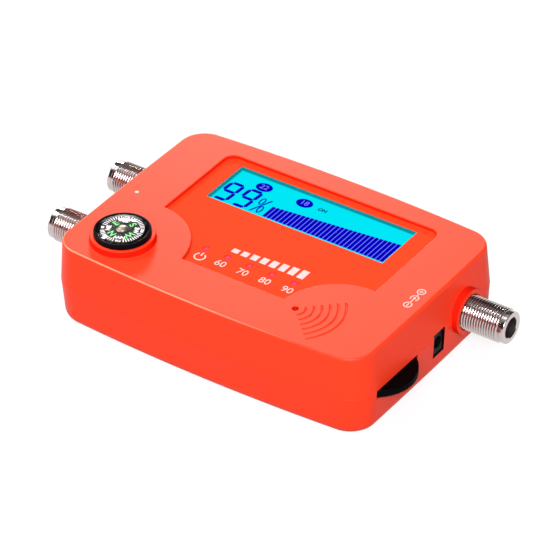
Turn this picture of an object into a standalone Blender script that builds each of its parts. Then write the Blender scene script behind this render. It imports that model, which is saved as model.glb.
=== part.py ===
"""A hand-held satellite signal meter: two case shells, boards, display, sockets, compass and thumb wheel.

Metres, +Z up. X runs along the case, with two coaxial sockets at -X and one at +X. The origin lies under
the middle of the case, on the surface that it rests on.
"""
import math

import bmesh
import bpy
from mathutils import Matrix

# Fits, shared by every piece
GAP = 0.0003                    # between pieces that touch on the real meter
RUNNING_GAP = 0.00045           # round what turns
OVERRUN = 0.003                 # how far a cutter reaches past what it cuts
OVERLAP = 0.0006                # how far joined shapes reach into each other

# Case
CASE_LENGTH = 0.0958            # at the top edge, at the middle of the ends
CASE_DEPTH = 0.0676             # at the top edge, at the middle of the long sides
CASE_HEIGHT = 0.0237
CASE_CORNER_RADIUS = 0.0069
LONG_SIDE_BOW = 0.0019
END_BOW = 0.0003
SEAM_HEIGHT = 0.0118
SEAM_FLARE = 0.00096            # how far the walls lean out at the seam
BOTTOM_FLARE = 0.0004
TOP_EDGE_RADIUS = 0.0013
BOTTOM_EDGE_RADIUS = 0.0028
WALL = 0.0022
FLOOR = 0.0018
INNER_CHAMFER = 0.0012
LIP_HEIGHT = 0.001
LIP_THICKNESS = 0.0008

# Label field, sunk into the top
LABEL_DEPTH = 0.0009
LABEL_WALL = 0.0018             # left under the field
LABEL_LEFT = 0.0327
LABEL_RIGHT = 0.0339
LABEL_FROM_BACK = 0.007         # from the case's edge
LABEL_FROM_FRONT = 0.0146
LABEL_CORNER_RADIUS = 0.003
COMPASS_CLEARING_RADIUS = 0.0177
BUZZER_CLEARING_X = 0.0335
BUZZER_CLEARING_FROM_FRONT = 0.0128
BUZZER_CLEARING_RADIUS = 0.0172

# Display
DISPLAY_X = 0.0004
DISPLAY_FROM_BACK = 0.01755
WINDOW_LENGTH = 0.0556
WINDOW_DEPTH = 0.0165
WINDOW_SINK = 0.0001            # its face below the label field
WINDOW_THICKNESS = 0.0004
PANEL_LENGTH = 0.0584
PANEL_DEPTH = 0.021
PANEL_THICKNESS = 0.0016
BACKLIGHT_THICKNESS = 0.0022
FRAME_WALL = 0.0011

# Indicator lights
LIGHT_FIRST_X = -0.0135
LIGHT_PITCH = 0.00692
LIGHT_FROM_FRONT = 0.02245
LIGHT_RADIUS = 0.00095
LIGHT_FLANGE_RADIUS = 0.0014
LIGHT_FLANGE_HEIGHT = 0.0008
LIGHT_BODY_HEIGHT = 0.0038
LIGHT_LEG_WIDTH = 0.0005
LIGHT_LEG_SPREAD = 0.0016
LIGHT_HOLE_CLEARANCE = 0.0003
LIGHT_SINK = 0.0001             # dome below the label field

# Buzzer and its sound hole and grooves
BUZZER_X = 0.0212
BUZZER_FROM_FRONT = 0.0127
BUZZER_RADIUS = 0.006
BUZZER_HEIGHT = 0.0095
BUZZER_HOLE_RADIUS = 0.0011
BUZZER_HOLE_DEPTH = 0.002
SOUND_HOLE_RADIUS = 0.00095
CHIMNEY_BORE_RADIUS = 0.0016
CHIMNEY_WALL = 0.0012
GROOVE_COUNT = 6
GROOVE_FIRST_RADIUS = 0.0027
GROOVE_PITCH = 0.00204
GROOVE_WIDTH = 0.0007
GROOVE_DEPTH = 0.0004
GROOVE_HALF_ANGLE = math.radians(43)

# Compass
COMPASS_X = -0.033
COMPASS_FROM_FRONT = 0.013
CUP_RADIUS = 0.00755
CUP_HEIGHT = 0.00715
CUP_RIM_WIDTH = 0.00065
CUP_FLOOR = 0.001
CUP_PROUD = 0.0014              # rim above the boss
BOSS_HEIGHT = 0.00195
BOSS_RIM_WIDTH = 0.00095
BOSS_FOOT_SPREAD = 0.0003
POCKET_WALL = 0.0015
POCKET_FLOOR = 0.0012
CARD_RADIUS = 0.0058
CARD_THICKNESS = 0.0004
CARD_DEPTH = 0.0002             # card's face below the cup's rim
CARD_HUB_RADIUS = 0.0012
CARD_HUB_HEIGHT = 0.0012
CARD_SOCKET_RADIUS = 0.0007
PIVOT_RADIUS = 0.0004
PIVOT_BASE_RADIUS = 0.0015
PIVOT_BASE_HEIGHT = 0.0006
LENS_SKIRT = 0.0006             # its straight wall above its seat
LENS_RISE = 0.0011              # its dome above that wall
LENS_THICKNESS = 0.0005
LENS_SEAT = 0.0008              # how deep it sits in the cup's rim
LENS_LEDGE = 0.0004

# Coaxial sockets, with the standard 3/8-32 thread
SOCKET_AXIS_HEIGHT = 0.012
RECEIVER_FROM_BACK = 0.0188
SATELLITE_FROM_BACK = 0.0188
ANTENNA_FROM_FRONT = 0.0227
SOCKET_REACH = 0.01395          # out of the end wall
THREAD_RADIUS = 0.00476
THREAD_PITCH = 0.00079375
THREAD_DEPTH = 0.00048
SOCKET_NOSE = 0.0012            # plain chamfered ring in front of the thread
SOCKET_NOSE_RADIUS = 0.0042
SOCKET_CHAMFER = 0.0005
SOCKET_BORE_RADIUS = 0.00255
SOCKET_SINK = 0.0018            # insulator behind the front ring
SOCKET_BLOCK_WIDTH = 0.011
SOCKET_BLOCK_TOP = 0.0055       # above the axis
SOCKET_BLOCK_LENGTH = 0.0078
SOCKET_BLOCK_BORE_END = 0.001   # wall left behind the insulator
CONTACT_RADIUS = 0.0008
CONTACT_BORE_RADIUS = 0.00045
CONTACT_BORE_DEPTH = 0.004
CONTACT_SINK = 0.0004           # behind the insulator's face
CONTACT_LEG_WIDTH = 0.0009
CONTACT_LEG_TAIL = 0.001        # through the board
SOCKET_COLLAR_RADIUS = 0.0063
SOCKET_COLLAR_HEIGHT = 0.00165
SOCKET_COLLAR_CHAMFER = 0.00025

# DC socket
DC_FROM_BACK = 0.03085
DC_AXIS_HEIGHT = 0.0091
DC_NOSE_WIDTH = 0.0041
DC_NOSE_HEIGHT = 0.0062
DC_NOSE_SINK = 0.0005           # nose behind the wall's outer face
DC_BODY_WIDTH = 0.006
DC_BODY_LENGTH = 0.0105
DC_BORE_RADIUS = 0.00175
DC_BORE_DEPTH = 0.0095
DC_PIN_RADIUS = 0.00055
DC_PIN_SINK = 0.0012
DC_PIN_TAIL = 0.0012

# Thumb wheel and its potentiometer
WHEEL_X = 0.0423
WHEEL_FROM_FRONT = 0.0175
WHEEL_RADIUS = 0.0107
WHEEL_BOTTOM = 0.0095
WHEEL_THICKNESS = 0.002
WHEEL_TEETH = 40
WHEEL_TOOTH_DEPTH = 0.0003
TOOTH_SHARES = (0.0, 0.4, 0.55, 0.85)
WHEEL_HUB_RADIUS = 0.0015
WHEEL_HUB_LENGTH = 0.0028
POTENTIOMETER_RADIUS = 0.0036
POTENTIOMETER_BASE_WIDTH = 0.0074
POTENTIOMETER_BASE_HEIGHT = 0.0012

# Boards
MAIN_BOARD_BOTTOM = 0.004
BOARD_THICKNESS = 0.0016
MAIN_BOARD_CORNER_RADIUS = 0.006
BOARD_EDGE_CLEARANCE = 0.0007
BOARD_HOLE_CLEARANCE = 0.0005
DISPLAY_BOARD_HALF_LENGTH = 0.0365
DISPLAY_BOARD_FROM_FRONT = 0.0194
DISPLAY_BOARD_FROM_BACK = 0.0045
DISPLAY_BOARD_CORNER_RADIUS = 0.002
HEADER_X = 0.008
HEADER_FROM_FRONT = 0.02085
HEADER_LENGTH = 0.018
HEADER_WIDTH = 0.0025
HEADER_PLUG_HEIGHT = 0.0036

# Parts on the main board
SHIELD_START_X = -0.035         # its end beside the two sockets
SHIELD_Y = 0.003
SHIELD_LENGTH = 0.027
SHIELD_DEPTH = 0.036
SHIELD_HEIGHT = 0.0055
SHIELD_SHEET = 0.0005
TUNER_CHIP_WIDTH = 0.007
TUNER_CHIP_HEIGHT = 0.0014
CONTROLLER_X = 0.008
CONTROLLER_Y = 0.006
CONTROLLER_WIDTH = 0.01
CONTROLLER_HEIGHT = 0.0015
REGULATOR_X = 0.0225
REGULATOR_Y = -0.0045
REGULATOR_LENGTH = 0.0065
REGULATOR_DEPTH = 0.0062
REGULATOR_HEIGHT = 0.0023
CAPACITOR_X = 0.0285
CAPACITOR_Y = 0.0105
CAPACITOR_RADIUS = 0.00315
CAPACITOR_HEIGHT = 0.0066

# Screws
CASE_SCREW_X = 0.0416
CASE_SCREW_FROM_EDGE = 0.0065
WHEEL_CORNER_SCREW_X = 0.031    # this corner's boss stands clear of the wheel
WHEEL_CORNER_SCREW_FROM_EDGE = 0.0058
CASE_BOSS_RADIUS = 0.004
CASE_SCREW_RADIUS = 0.00125
CASE_SCREW_HEAD_RADIUS = 0.0021
CASE_SCREW_HEAD_HEIGHT = 0.0016
CASE_SCREW_SEAT = 0.005         # top of the hole for the head
CASE_SCREW_LENGTH = 0.0125
SCREW_CLEARANCE = 0.0003
BOARD_SCREW_X = 0.026
BOARD_SCREW_FROM_EDGE = 0.0068
BUZZER_CORNER_SCREW_X = 0.006   # this board screw stands clear of the buzzer
BOARD_BOSS_RADIUS = 0.0024
BOARD_SCREW_RADIUS = 0.001
BOARD_SCREW_HEAD_RADIUS = 0.0018
BOARD_SCREW_HEAD_HEIGHT = 0.0011
BOARD_SCREW_LENGTH = 0.0035
BOARD_SCREW_FLOOR = 0.001       # left under the screw's hole
DISPLAY_SCREW_X = 0.0336
DISPLAY_SCREW_FROM_BACK = 0.0098
DISPLAY_SCREW_FROM_FRONT = 0.0278
DISPLAY_BOSS_RADIUS = 0.0019
DISPLAY_SCREW_LENGTH = 0.0055
DRIVE_WIDTH = 0.0008            # slot of the cross in each screw head
DRIVE_SPAN_SHARE = 0.62
DRIVE_DEPTH_SHARE = 0.45

# Smoothness, in segments of a round shape
CORNER_SEGMENTS = 6
LONG_SIDE_SEGMENTS = 8
END_SEGMENTS = 2
EDGE_SEGMENTS = 3
FINE_SEGMENTS = 36
THREAD_SEGMENTS = 22
ROUND_SEGMENTS = 20
SMALL_SEGMENTS = 12
SHARP_ANGLE = math.radians(35)

# Places that follow from the case's depth
EDGE_Y = CASE_DEPTH / 2
LABEL_BACK = EDGE_Y - LABEL_FROM_BACK
LABEL_FRONT = EDGE_Y - LABEL_FROM_FRONT
BUZZER_CLEARING_Y = BUZZER_CLEARING_FROM_FRONT - EDGE_Y
DISPLAY_Y = EDGE_Y - DISPLAY_FROM_BACK
LIGHT_Y = LIGHT_FROM_FRONT - EDGE_Y
BUZZER_Y = BUZZER_FROM_FRONT - EDGE_Y
COMPASS_Y = COMPASS_FROM_FRONT - EDGE_Y
RECEIVER_Y = EDGE_Y - RECEIVER_FROM_BACK
SATELLITE_Y = EDGE_Y - SATELLITE_FROM_BACK
ANTENNA_Y = ANTENNA_FROM_FRONT - EDGE_Y
DC_Y = EDGE_Y - DC_FROM_BACK
WHEEL_Y = WHEEL_FROM_FRONT - EDGE_Y
DISPLAY_BOARD_FRONT = DISPLAY_BOARD_FROM_FRONT - EDGE_Y
DISPLAY_BOARD_BACK = EDGE_Y - DISPLAY_BOARD_FROM_BACK
HEADER_Y = HEADER_FROM_FRONT - EDGE_Y
CASE_SCREW_Y = EDGE_Y - CASE_SCREW_FROM_EDGE
WHEEL_CORNER_SCREW_Y = EDGE_Y - WHEEL_CORNER_SCREW_FROM_EDGE
BOARD_SCREW_Y = EDGE_Y - BOARD_SCREW_FROM_EDGE
DISPLAY_SCREW_BACK_Y = EDGE_Y - DISPLAY_SCREW_FROM_BACK
DISPLAY_SCREW_FRONT_Y = DISPLAY_SCREW_FROM_FRONT - EDGE_Y
SHIELD_X = SHIELD_START_X + SHIELD_LENGTH / 2

# Heights that follow from the sizes above
LABEL_HEIGHT = CASE_HEIGHT - LABEL_DEPTH
CEILING = LABEL_HEIGHT - LABEL_WALL
WINDOW_BOTTOM = LABEL_HEIGHT - WINDOW_SINK - WINDOW_THICKNESS
PANEL_TOP = CEILING - GAP
PANEL_BOTTOM = PANEL_TOP - PANEL_THICKNESS
BACKLIGHT_BOTTOM = PANEL_BOTTOM - GAP - BACKLIGHT_THICKNESS
DISPLAY_BOARD_TOP = BACKLIGHT_BOTTOM - GAP
DISPLAY_BOARD_BOTTOM = DISPLAY_BOARD_TOP - BOARD_THICKNESS
MAIN_BOARD_TOP = MAIN_BOARD_BOTTOM + BOARD_THICKNESS
ON_BOARD = MAIN_BOARD_TOP + GAP
ON_DISPLAY_BOARD = DISPLAY_BOARD_TOP + GAP
BOSS_TOP = CASE_HEIGHT + BOSS_HEIGHT
CUP_TOP = BOSS_TOP + CUP_PROUD
CUP_BOTTOM = CUP_TOP - CUP_HEIGHT
WHEEL_TOP = WHEEL_BOTTOM + WHEEL_THICKNESS

# The real case screws lie in the corners but for the one beside the wheel
CASE_SCREWS = (
    (-CASE_SCREW_X, -CASE_SCREW_Y),
    (-CASE_SCREW_X, CASE_SCREW_Y),
    (CASE_SCREW_X, CASE_SCREW_Y),
    (WHEEL_CORNER_SCREW_X, -WHEEL_CORNER_SCREW_Y),
)
BOARD_SCREWS = (
    (-BOARD_SCREW_X, -BOARD_SCREW_Y),
    (-BOARD_SCREW_X, BOARD_SCREW_Y),
    (BOARD_SCREW_X, BOARD_SCREW_Y),
    (BUZZER_CORNER_SCREW_X, -BOARD_SCREW_Y),
)
DISPLAY_SCREWS = (
    (-DISPLAY_SCREW_X, DISPLAY_SCREW_FRONT_Y),
    (-DISPLAY_SCREW_X, DISPLAY_SCREW_BACK_Y),
    (DISPLAY_SCREW_X, DISPLAY_SCREW_BACK_Y),
    (DISPLAY_SCREW_X, DISPLAY_SCREW_FRONT_Y),
)
# Each socket: name, side of the case, place along the end
SOCKETS = (
    ("satellite_socket", -1, SATELLITE_Y),
    ("antenna_socket", -1, ANTENNA_Y),
    ("receiver_socket", 1, RECEIVER_Y),
)
LIGHTS = ("power_light", "light_60", "light_70", "light_80", "light_90")


def clear_scene():
    """Removes whatever the scene holds."""
    for item in list(bpy.data.objects):
        bpy.data.objects.remove(item, do_unlink=True)


def make_material(name, colour, roughness, metallic=0.0, alpha=1.0):
    """A plain material: linear colour, roughness, metallic value and opacity."""
    material = bpy.data.materials.new(name)
    material.use_nodes = True
    shader = material.node_tree.nodes["Principled BSDF"]
    shader.inputs["Base Color"].default_value = (*colour, 1.0)
    shader.inputs["Roughness"].default_value = roughness
    shader.inputs["Metallic"].default_value = metallic
    shader.inputs["Alpha"].default_value = alpha
    material.diffuse_color = (*colour, alpha)
    return material


# Meshes and solids

def add_object(name, builder, material):
    """Turns a finished bmesh into an object with one material and smooth round faces."""
    bmesh.ops.recalc_face_normals(builder, faces=builder.faces)
    mesh = bpy.data.meshes.new(name)
    builder.to_mesh(mesh)
    builder.free()
    mesh.materials.append(material)
    result = bpy.data.objects.new(name, mesh)
    bpy.context.scene.collection.objects.link(result)
    return result


def finish(item):
    """Shades an object smooth up to its sharp edges."""
    item.data.shade_smooth()
    item.data.set_sharp_from_angle(angle=SHARP_ANGLE)
    return item


def loft(name, rings, material):
    """A closed solid through rings of points, each with the same number of points."""
    builder = bmesh.new()
    rows = [[builder.verts.new(point) for point in ring] for ring in rings]
    for lower, upper in zip(rows, rows[1:]):
        for index in range(len(lower)):
            after = (index + 1) % len(lower)
            builder.faces.new((lower[index], lower[after], upper[after], upper[index]))
    builder.faces.new(rows[0])
    builder.faces.new(rows[-1])
    return add_object(name, builder, material)


def prism(name, outline, bottom, top, material):
    """An upright solid over a flat outline."""
    rings = [[(x, y, height) for x, y in outline] for height in (bottom, top)]
    return loft(name, rings, material)


def box(name, low, high, material):
    """A block between two opposite corners."""
    outline = [(low[0], low[1]), (high[0], low[1]), (high[0], high[1]), (low[0], high[1])]
    return prism(name, outline, low[2], high[2], material)


def revolve(name, profile, material, place, axis="Z", segments=ROUND_SEGMENTS):
    """A turned solid. The profile is a closed loop of radius and height, and the axis Z, X or -X."""
    builder = bmesh.new()
    rows = []
    for radius, height in profile:
        if radius == 0:
            rows.append([builder.verts.new((0, 0, height))])
            continue
        turns = [math.tau * step / segments for step in range(segments)]
        rows.append([builder.verts.new((radius * math.cos(t), radius * math.sin(t), height)) for t in turns])
    for index, lower in enumerate(rows):
        upper = rows[(index + 1) % len(rows)]
        if len(lower) == 1 and len(upper) == 1:
            continue
        for step in range(segments):
            after = (step + 1) % segments
            corners = [lower[step % len(lower)], lower[after % len(lower)],
                       upper[after % len(upper)], upper[step % len(upper)]]
            builder.faces.new(list(dict.fromkeys(corners)))
    turn = {"Z": Matrix.Identity(4),
            "X": Matrix.Rotation(math.pi / 2, 4, "Y"),
            "-X": Matrix.Rotation(-math.pi / 2, 4, "Y")}[axis]
    bmesh.ops.transform(builder, matrix=Matrix.Translation(place) @ turn, verts=builder.verts)
    return add_object(name, builder, material)


def rod(name, radius, bottom, top, material, place, axis="Z", segments=ROUND_SEGMENTS):
    """A round bar from bottom to top along its axis."""
    profile = [(0, bottom), (radius, bottom), (radius, top), (0, top)]
    return revolve(name, profile, material, place, axis, segments)


def combine(target, tools, operation):
    """Joins tool shapes to a solid or cuts them away, all in one step, and keeps only the solid."""
    shelf = bpy.data.collections.new("tools")
    bpy.context.scene.collection.children.link(shelf)
    for tool in tools:
        shelf.objects.link(tool)
    modifier = target.modifiers.new("shape", "BOOLEAN")
    modifier.operation = operation
    modifier.solver = "EXACT"
    modifier.operand_type = "COLLECTION"
    modifier.collection = shelf
    graph = bpy.context.evaluated_depsgraph_get()
    mesh = bpy.data.meshes.new_from_object(target.evaluated_get(graph), depsgraph=graph)
    target.modifiers.clear()
    target.data = mesh
    for tool in tools:
        bpy.data.objects.remove(tool, do_unlink=True)
    bpy.data.collections.remove(shelf)
    return target


def join(target, *tools):
    return combine(target, tools, "UNION")


def cut(target, *tools):
    return combine(target, tools, "DIFFERENCE")


def arc(centre, radius, start, end, segments):
    """Points along an arc, both ends included."""
    points = []
    for step in range(segments + 1):
        turn = start + (end - start) * step / segments
        points.append((centre[0] + radius * math.cos(turn), centre[1] + radius * math.sin(turn)))
    return points


def rounded_rectangle(left, right, front, back, radius, long_steps=1, end_steps=1):
    """A rounded rectangle, counter-clockwise, its straight sides split into steps."""
    corners = (
        ((right - radius, back - radius), 0.0),
        ((left + radius, back - radius), math.pi / 2),
        ((left + radius, front + radius), math.pi),
        ((right - radius, front + radius), math.pi * 3 / 2),
    )
    points = []
    for index, (centre, start) in enumerate(corners):
        points += arc(centre, radius, start, start + math.pi / 2, CORNER_SEGMENTS)
        following, turn = corners[(index + 1) % len(corners)]
        goal = (following[0] + radius * math.cos(turn), following[1] + radius * math.sin(turn))
        steps = long_steps if index % 2 == 0 else end_steps
        last = points[-1]
        for step in range(1, steps):
            share = step / steps
            points.append((last[0] + (goal[0] - last[0]) * share, last[1] + (goal[1] - last[1]) * share))
    return points


# Case outline and walls

def flare(height):
    """How far the outer wall stands out from the top outline at a height."""
    if height >= SEAM_HEIGHT:
        rise = (height - SEAM_HEIGHT) / (CASE_HEIGHT - TOP_EDGE_RADIUS - SEAM_HEIGHT)
        return SEAM_FLARE * (1 - min(rise, 1))
    rise = (height - BOTTOM_EDGE_RADIUS) / (SEAM_HEIGHT - BOTTOM_EDGE_RADIUS)
    return BOTTOM_FLARE + (SEAM_FLARE - BOTTOM_FLARE) * max(rise, 0)


def case_ring(offset, height):
    """The case's outline with its bowed sides, moved out by an offset, at a height."""
    half_length = CASE_LENGTH / 2
    half_depth = CASE_DEPTH / 2
    outline = rounded_rectangle(-half_length - offset, half_length + offset, -half_depth - offset,
                                half_depth + offset, CASE_CORNER_RADIUS + offset,
                                LONG_SIDE_SEGMENTS, END_SEGMENTS)
    ring = []
    for x, y in outline:
        along = x / half_length
        across = y / half_depth
        ring.append((x - END_BOW * along * across ** 2, y - LONG_SIDE_BOW * across * along ** 2, height))
    return ring


def wall_face(height, y=0.0):
    """How far out the end walls stand at a height and place."""
    across = y / (CASE_DEPTH / 2)
    return CASE_LENGTH / 2 + flare(height) - END_BOW * across ** 2


def inner_face(low, high, y):
    """How far out a block may reach behind an end wall between two heights."""
    return min(wall_face(low, y), wall_face(high, y)) - WALL - GAP


def edge_rings(radius, base, inset, top):
    """Rings of a rounded top or bottom edge, listed upwards."""
    rings = []
    for step in range(EDGE_SEGMENTS + 1):
        turn = math.pi / 2 * step / EDGE_SEGMENTS
        if not top:
            turn = math.pi / 2 - turn
        rise = radius * math.sin(turn)
        rings.append((base + rise if top else base - rise, inset - radius + radius * math.cos(turn)))
    return rings


def outer_shell(name, sections, material):
    return loft(name, [case_ring(offset, height) for height, offset in sections], material)


def end_wall_tools():
    """Cutters for the round holes that the sockets pass through."""
    bars = []
    for name, side, y in SOCKETS:
        place = (side * wall_face(SOCKET_AXIS_HEIGHT, y), y, SOCKET_AXIS_HEIGHT)
        bars.append(rod(name + "_tool", THREAD_RADIUS + GAP, -WALL - OVERRUN, SOCKET_COLLAR_HEIGHT + OVERRUN,
                        MATERIALS["case"], place, "X" if side > 0 else "-X", FINE_SEGMENTS))
    return bars


def half_collars(level, upper):
    """The raised round collars about the sockets, as far as they lie above or below the seam."""
    halves = []
    for name, side, y in SOCKETS:
        face = wall_face(SOCKET_AXIS_HEIGHT, y)
        foot = face - WALL / 2
        edge = face + SOCKET_COLLAR_HEIGHT
        sections = (
            (foot, SOCKET_COLLAR_RADIUS),
            (edge - SOCKET_COLLAR_CHAMFER, SOCKET_COLLAR_RADIUS),
            (edge, SOCKET_COLLAR_RADIUS - SOCKET_COLLAR_CHAMFER),
        )
        rings = []
        for distance, radius in sections:
            dip = math.asin((level - SOCKET_AXIS_HEIGHT) / radius)
            start, end = (dip, math.pi - dip) if upper else (math.pi - dip, math.tau + dip)
            points = arc((y, SOCKET_AXIS_HEIGHT), radius, start, end, ROUND_SEGMENTS)
            rings.append([(side * distance, across, height) for across, height in points])
        halves.append(loft(name + "_collar", rings, MATERIALS["case"]))
    return halves


def dc_tool(top):
    """A cutter for the DC socket's opening, up to a height."""
    face = wall_face(DC_AXIS_HEIGHT, DC_Y)
    half_width = DC_NOSE_WIDTH / 2 + GAP
    bottom = DC_AXIS_HEIGHT - DC_NOSE_HEIGHT / 2 - GAP
    return box("dc_tool", (face - WALL - OVERRUN, DC_Y - half_width, bottom),
               (face + OVERRUN, DC_Y + half_width, top), MATERIALS["case"])


def wheel_tool(top):
    """A cutter for the thumb wheel's slot, up to a height."""
    return rod("wheel_tool", WHEEL_RADIUS + RUNNING_GAP, WHEEL_BOTTOM - RUNNING_GAP, top, MATERIALS["case"],
               (WHEEL_X, WHEEL_Y, 0), segments=FINE_SEGMENTS)


def label_outline():
    """The sunk label field: a rounded rectangle that goes round the compass and the buzzer."""
    buzzer_left = BUZZER_CLEARING_X - math.sqrt(
        BUZZER_CLEARING_RADIUS ** 2 - (BUZZER_CLEARING_Y + LABEL_FRONT) ** 2)
    buzzer_top = BUZZER_CLEARING_Y + math.sqrt(
        BUZZER_CLEARING_RADIUS ** 2 - (LABEL_RIGHT - BUZZER_CLEARING_X) ** 2)
    compass_right = COMPASS_X + math.sqrt(
        COMPASS_CLEARING_RADIUS ** 2 - (COMPASS_Y + LABEL_FRONT) ** 2)
    compass_top = COMPASS_Y + math.sqrt(
        COMPASS_CLEARING_RADIUS ** 2 - (LABEL_LEFT + COMPASS_X) ** 2)
    buzzer = (BUZZER_CLEARING_X, BUZZER_CLEARING_Y)
    compass = (COMPASS_X, COMPASS_Y)
    points = arc((LABEL_RIGHT - LABEL_CORNER_RADIUS, LABEL_BACK - LABEL_CORNER_RADIUS),
                 LABEL_CORNER_RADIUS, 0.0, math.pi / 2, CORNER_SEGMENTS)
    points += arc((-LABEL_LEFT + LABEL_CORNER_RADIUS, LABEL_BACK - LABEL_CORNER_RADIUS),
                  LABEL_CORNER_RADIUS, math.pi / 2, math.pi, CORNER_SEGMENTS)
    points += arc(compass, COMPASS_CLEARING_RADIUS,
                  math.atan2(compass_top - COMPASS_Y, -LABEL_LEFT - COMPASS_X),
                  math.atan2(-LABEL_FRONT - COMPASS_Y, compass_right - COMPASS_X), SMALL_SEGMENTS)
    points += arc(buzzer, BUZZER_CLEARING_RADIUS,
                  math.atan2(-LABEL_FRONT - BUZZER_CLEARING_Y, buzzer_left - BUZZER_CLEARING_X),
                  math.atan2(buzzer_top - BUZZER_CLEARING_Y, LABEL_RIGHT - BUZZER_CLEARING_X),
                  SMALL_SEGMENTS)
    return points


def groove_tool(radius):
    """One arc groove round the sound hole."""
    centre = (BUZZER_X, BUZZER_Y)
    outer = arc(centre, radius + GROOVE_WIDTH / 2, -GROOVE_HALF_ANGLE, GROOVE_HALF_ANGLE, SMALL_SEGMENTS)
    inner = arc(centre, radius - GROOVE_WIDTH / 2, GROOVE_HALF_ANGLE, -GROOVE_HALF_ANGLE, SMALL_SEGMENTS)
    return prism("groove_tool", outer + inner, CASE_HEIGHT - GROOVE_DEPTH, CASE_HEIGHT + OVERRUN,
                 MATERIALS["case"])


def make_upper_case():
    material = MATERIALS["case"]
    bottom = SEAM_HEIGHT + GAP / 2
    sections = [(bottom, flare(bottom))]
    sections += edge_rings(TOP_EDGE_RADIUS, CASE_HEIGHT - TOP_EDGE_RADIUS, 0.0, True)
    shell = outer_shell("upper_case", sections, material)
    rebate_top = SEAM_HEIGHT + LIP_HEIGHT + GAP
    rebate = LIP_THICKNESS + GAP - WALL
    cavity = [(bottom - OVERRUN, flare(SEAM_HEIGHT) + rebate), (rebate_top, flare(rebate_top) + rebate),
              (rebate_top, flare(rebate_top) - WALL), (CEILING, flare(CEILING) - WALL)]
    cut(shell, outer_shell("cavity", cavity, material))
    buzzer_top = ON_BOARD + BUZZER_HEIGHT + GAP
    posts = [rod("boss", CASE_BOSS_RADIUS, bottom, CEILING + OVERLAP, material, (x, y, 0))
             for x, y in CASE_SCREWS]
    posts += [rod("boss", DISPLAY_BOSS_RADIUS, ON_DISPLAY_BOARD, CEILING + OVERLAP, material, (x, y, 0))
              for x, y in DISPLAY_SCREWS]
    posts.append(rod("chimney", CHIMNEY_BORE_RADIUS + CHIMNEY_WALL, buzzer_top, CEILING + OVERLAP, material,
                     (BUZZER_X, BUZZER_Y, 0)))
    join(shell, *posts, *half_collars(bottom, True))
    add_compass_boss(shell)
    tools = end_wall_tools() + top_tools(buzzer_top)
    tools.append(dc_tool(DC_AXIS_HEIGHT + DC_NOSE_HEIGHT / 2 + GAP))
    for x, y in CASE_SCREWS:
        tip = CASE_SCREW_SEAT + CASE_SCREW_LENGTH + GAP
        tools.append(rod("pilot", CASE_SCREW_RADIUS + SCREW_CLEARANCE, bottom - OVERRUN, tip, material,
                         (x, y, 0), segments=SMALL_SEGMENTS))
    for x, y in DISPLAY_SCREWS:
        tip = DISPLAY_BOARD_BOTTOM + DISPLAY_SCREW_LENGTH
        tools.append(rod("pilot", BOARD_SCREW_RADIUS + SCREW_CLEARANCE, ON_DISPLAY_BOARD - OVERRUN, tip,
                         material, (x, y, 0), segments=SMALL_SEGMENTS))
    cut(shell, *tools)
    return finish(shell)


def add_compass_boss(shell):
    """The raised ring that holds the compass and the pocket under it, bored out afterwards."""
    material = MATERIALS["case"]
    place = (COMPASS_X, COMPASS_Y, 0)
    pocket_radius = CUP_RADIUS + GAP
    rim = pocket_radius + BOSS_RIM_WIDTH
    foot = rim + BOSS_FOOT_SPREAD
    pocket_bottom = CUP_BOTTOM - GAP
    outside = pocket_radius + POCKET_WALL
    profile = [(0, pocket_bottom - POCKET_FLOOR), (outside, pocket_bottom - POCKET_FLOOR),
               (outside, CEILING + OVERLAP), (foot, CEILING + OVERLAP), (foot, CASE_HEIGHT), (rim, BOSS_TOP),
               (0, BOSS_TOP)]
    join(shell, revolve("ring", profile, material, place, segments=FINE_SEGMENTS))


def top_tools(chimney_bottom):
    """Cutters for the label field, the compass, the window, the lights, the sound hole and its grooves."""
    material = MATERIALS["case"]
    half_length = WINDOW_LENGTH / 2
    half_depth = WINDOW_DEPTH / 2
    low = CEILING - OVERRUN
    high = CASE_HEIGHT + OVERRUN
    tools = [
        prism("label_tool", label_outline(), LABEL_HEIGHT, high, material),
        rod("pocket_tool", CUP_RADIUS + GAP, CUP_BOTTOM - GAP, BOSS_TOP + OVERRUN, material,
            (COMPASS_X, COMPASS_Y, 0), segments=FINE_SEGMENTS),
        box("window_tool", (DISPLAY_X - half_length, DISPLAY_Y - half_depth, low),
            (DISPLAY_X + half_length, DISPLAY_Y + half_depth, high), material),
        rod("sound_tool", SOUND_HOLE_RADIUS, CEILING - OVERLAP, high, material, (BUZZER_X, BUZZER_Y, 0),
            segments=SMALL_SEGMENTS),
        rod("chimney_tool", CHIMNEY_BORE_RADIUS, chimney_bottom - OVERRUN, CEILING, material,
            (BUZZER_X, BUZZER_Y, 0), segments=SMALL_SEGMENTS),
    ]
    for index in range(len(LIGHTS)):
        place = (LIGHT_FIRST_X + LIGHT_PITCH * index, LIGHT_Y, 0)
        tools.append(rod("light_tool", LIGHT_RADIUS + LIGHT_HOLE_CLEARANCE, low, high, material, place,
                         segments=SMALL_SEGMENTS))
    tools += [groove_tool(GROOVE_FIRST_RADIUS + GROOVE_PITCH * index) for index in range(GROOVE_COUNT)]
    return tools


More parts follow.
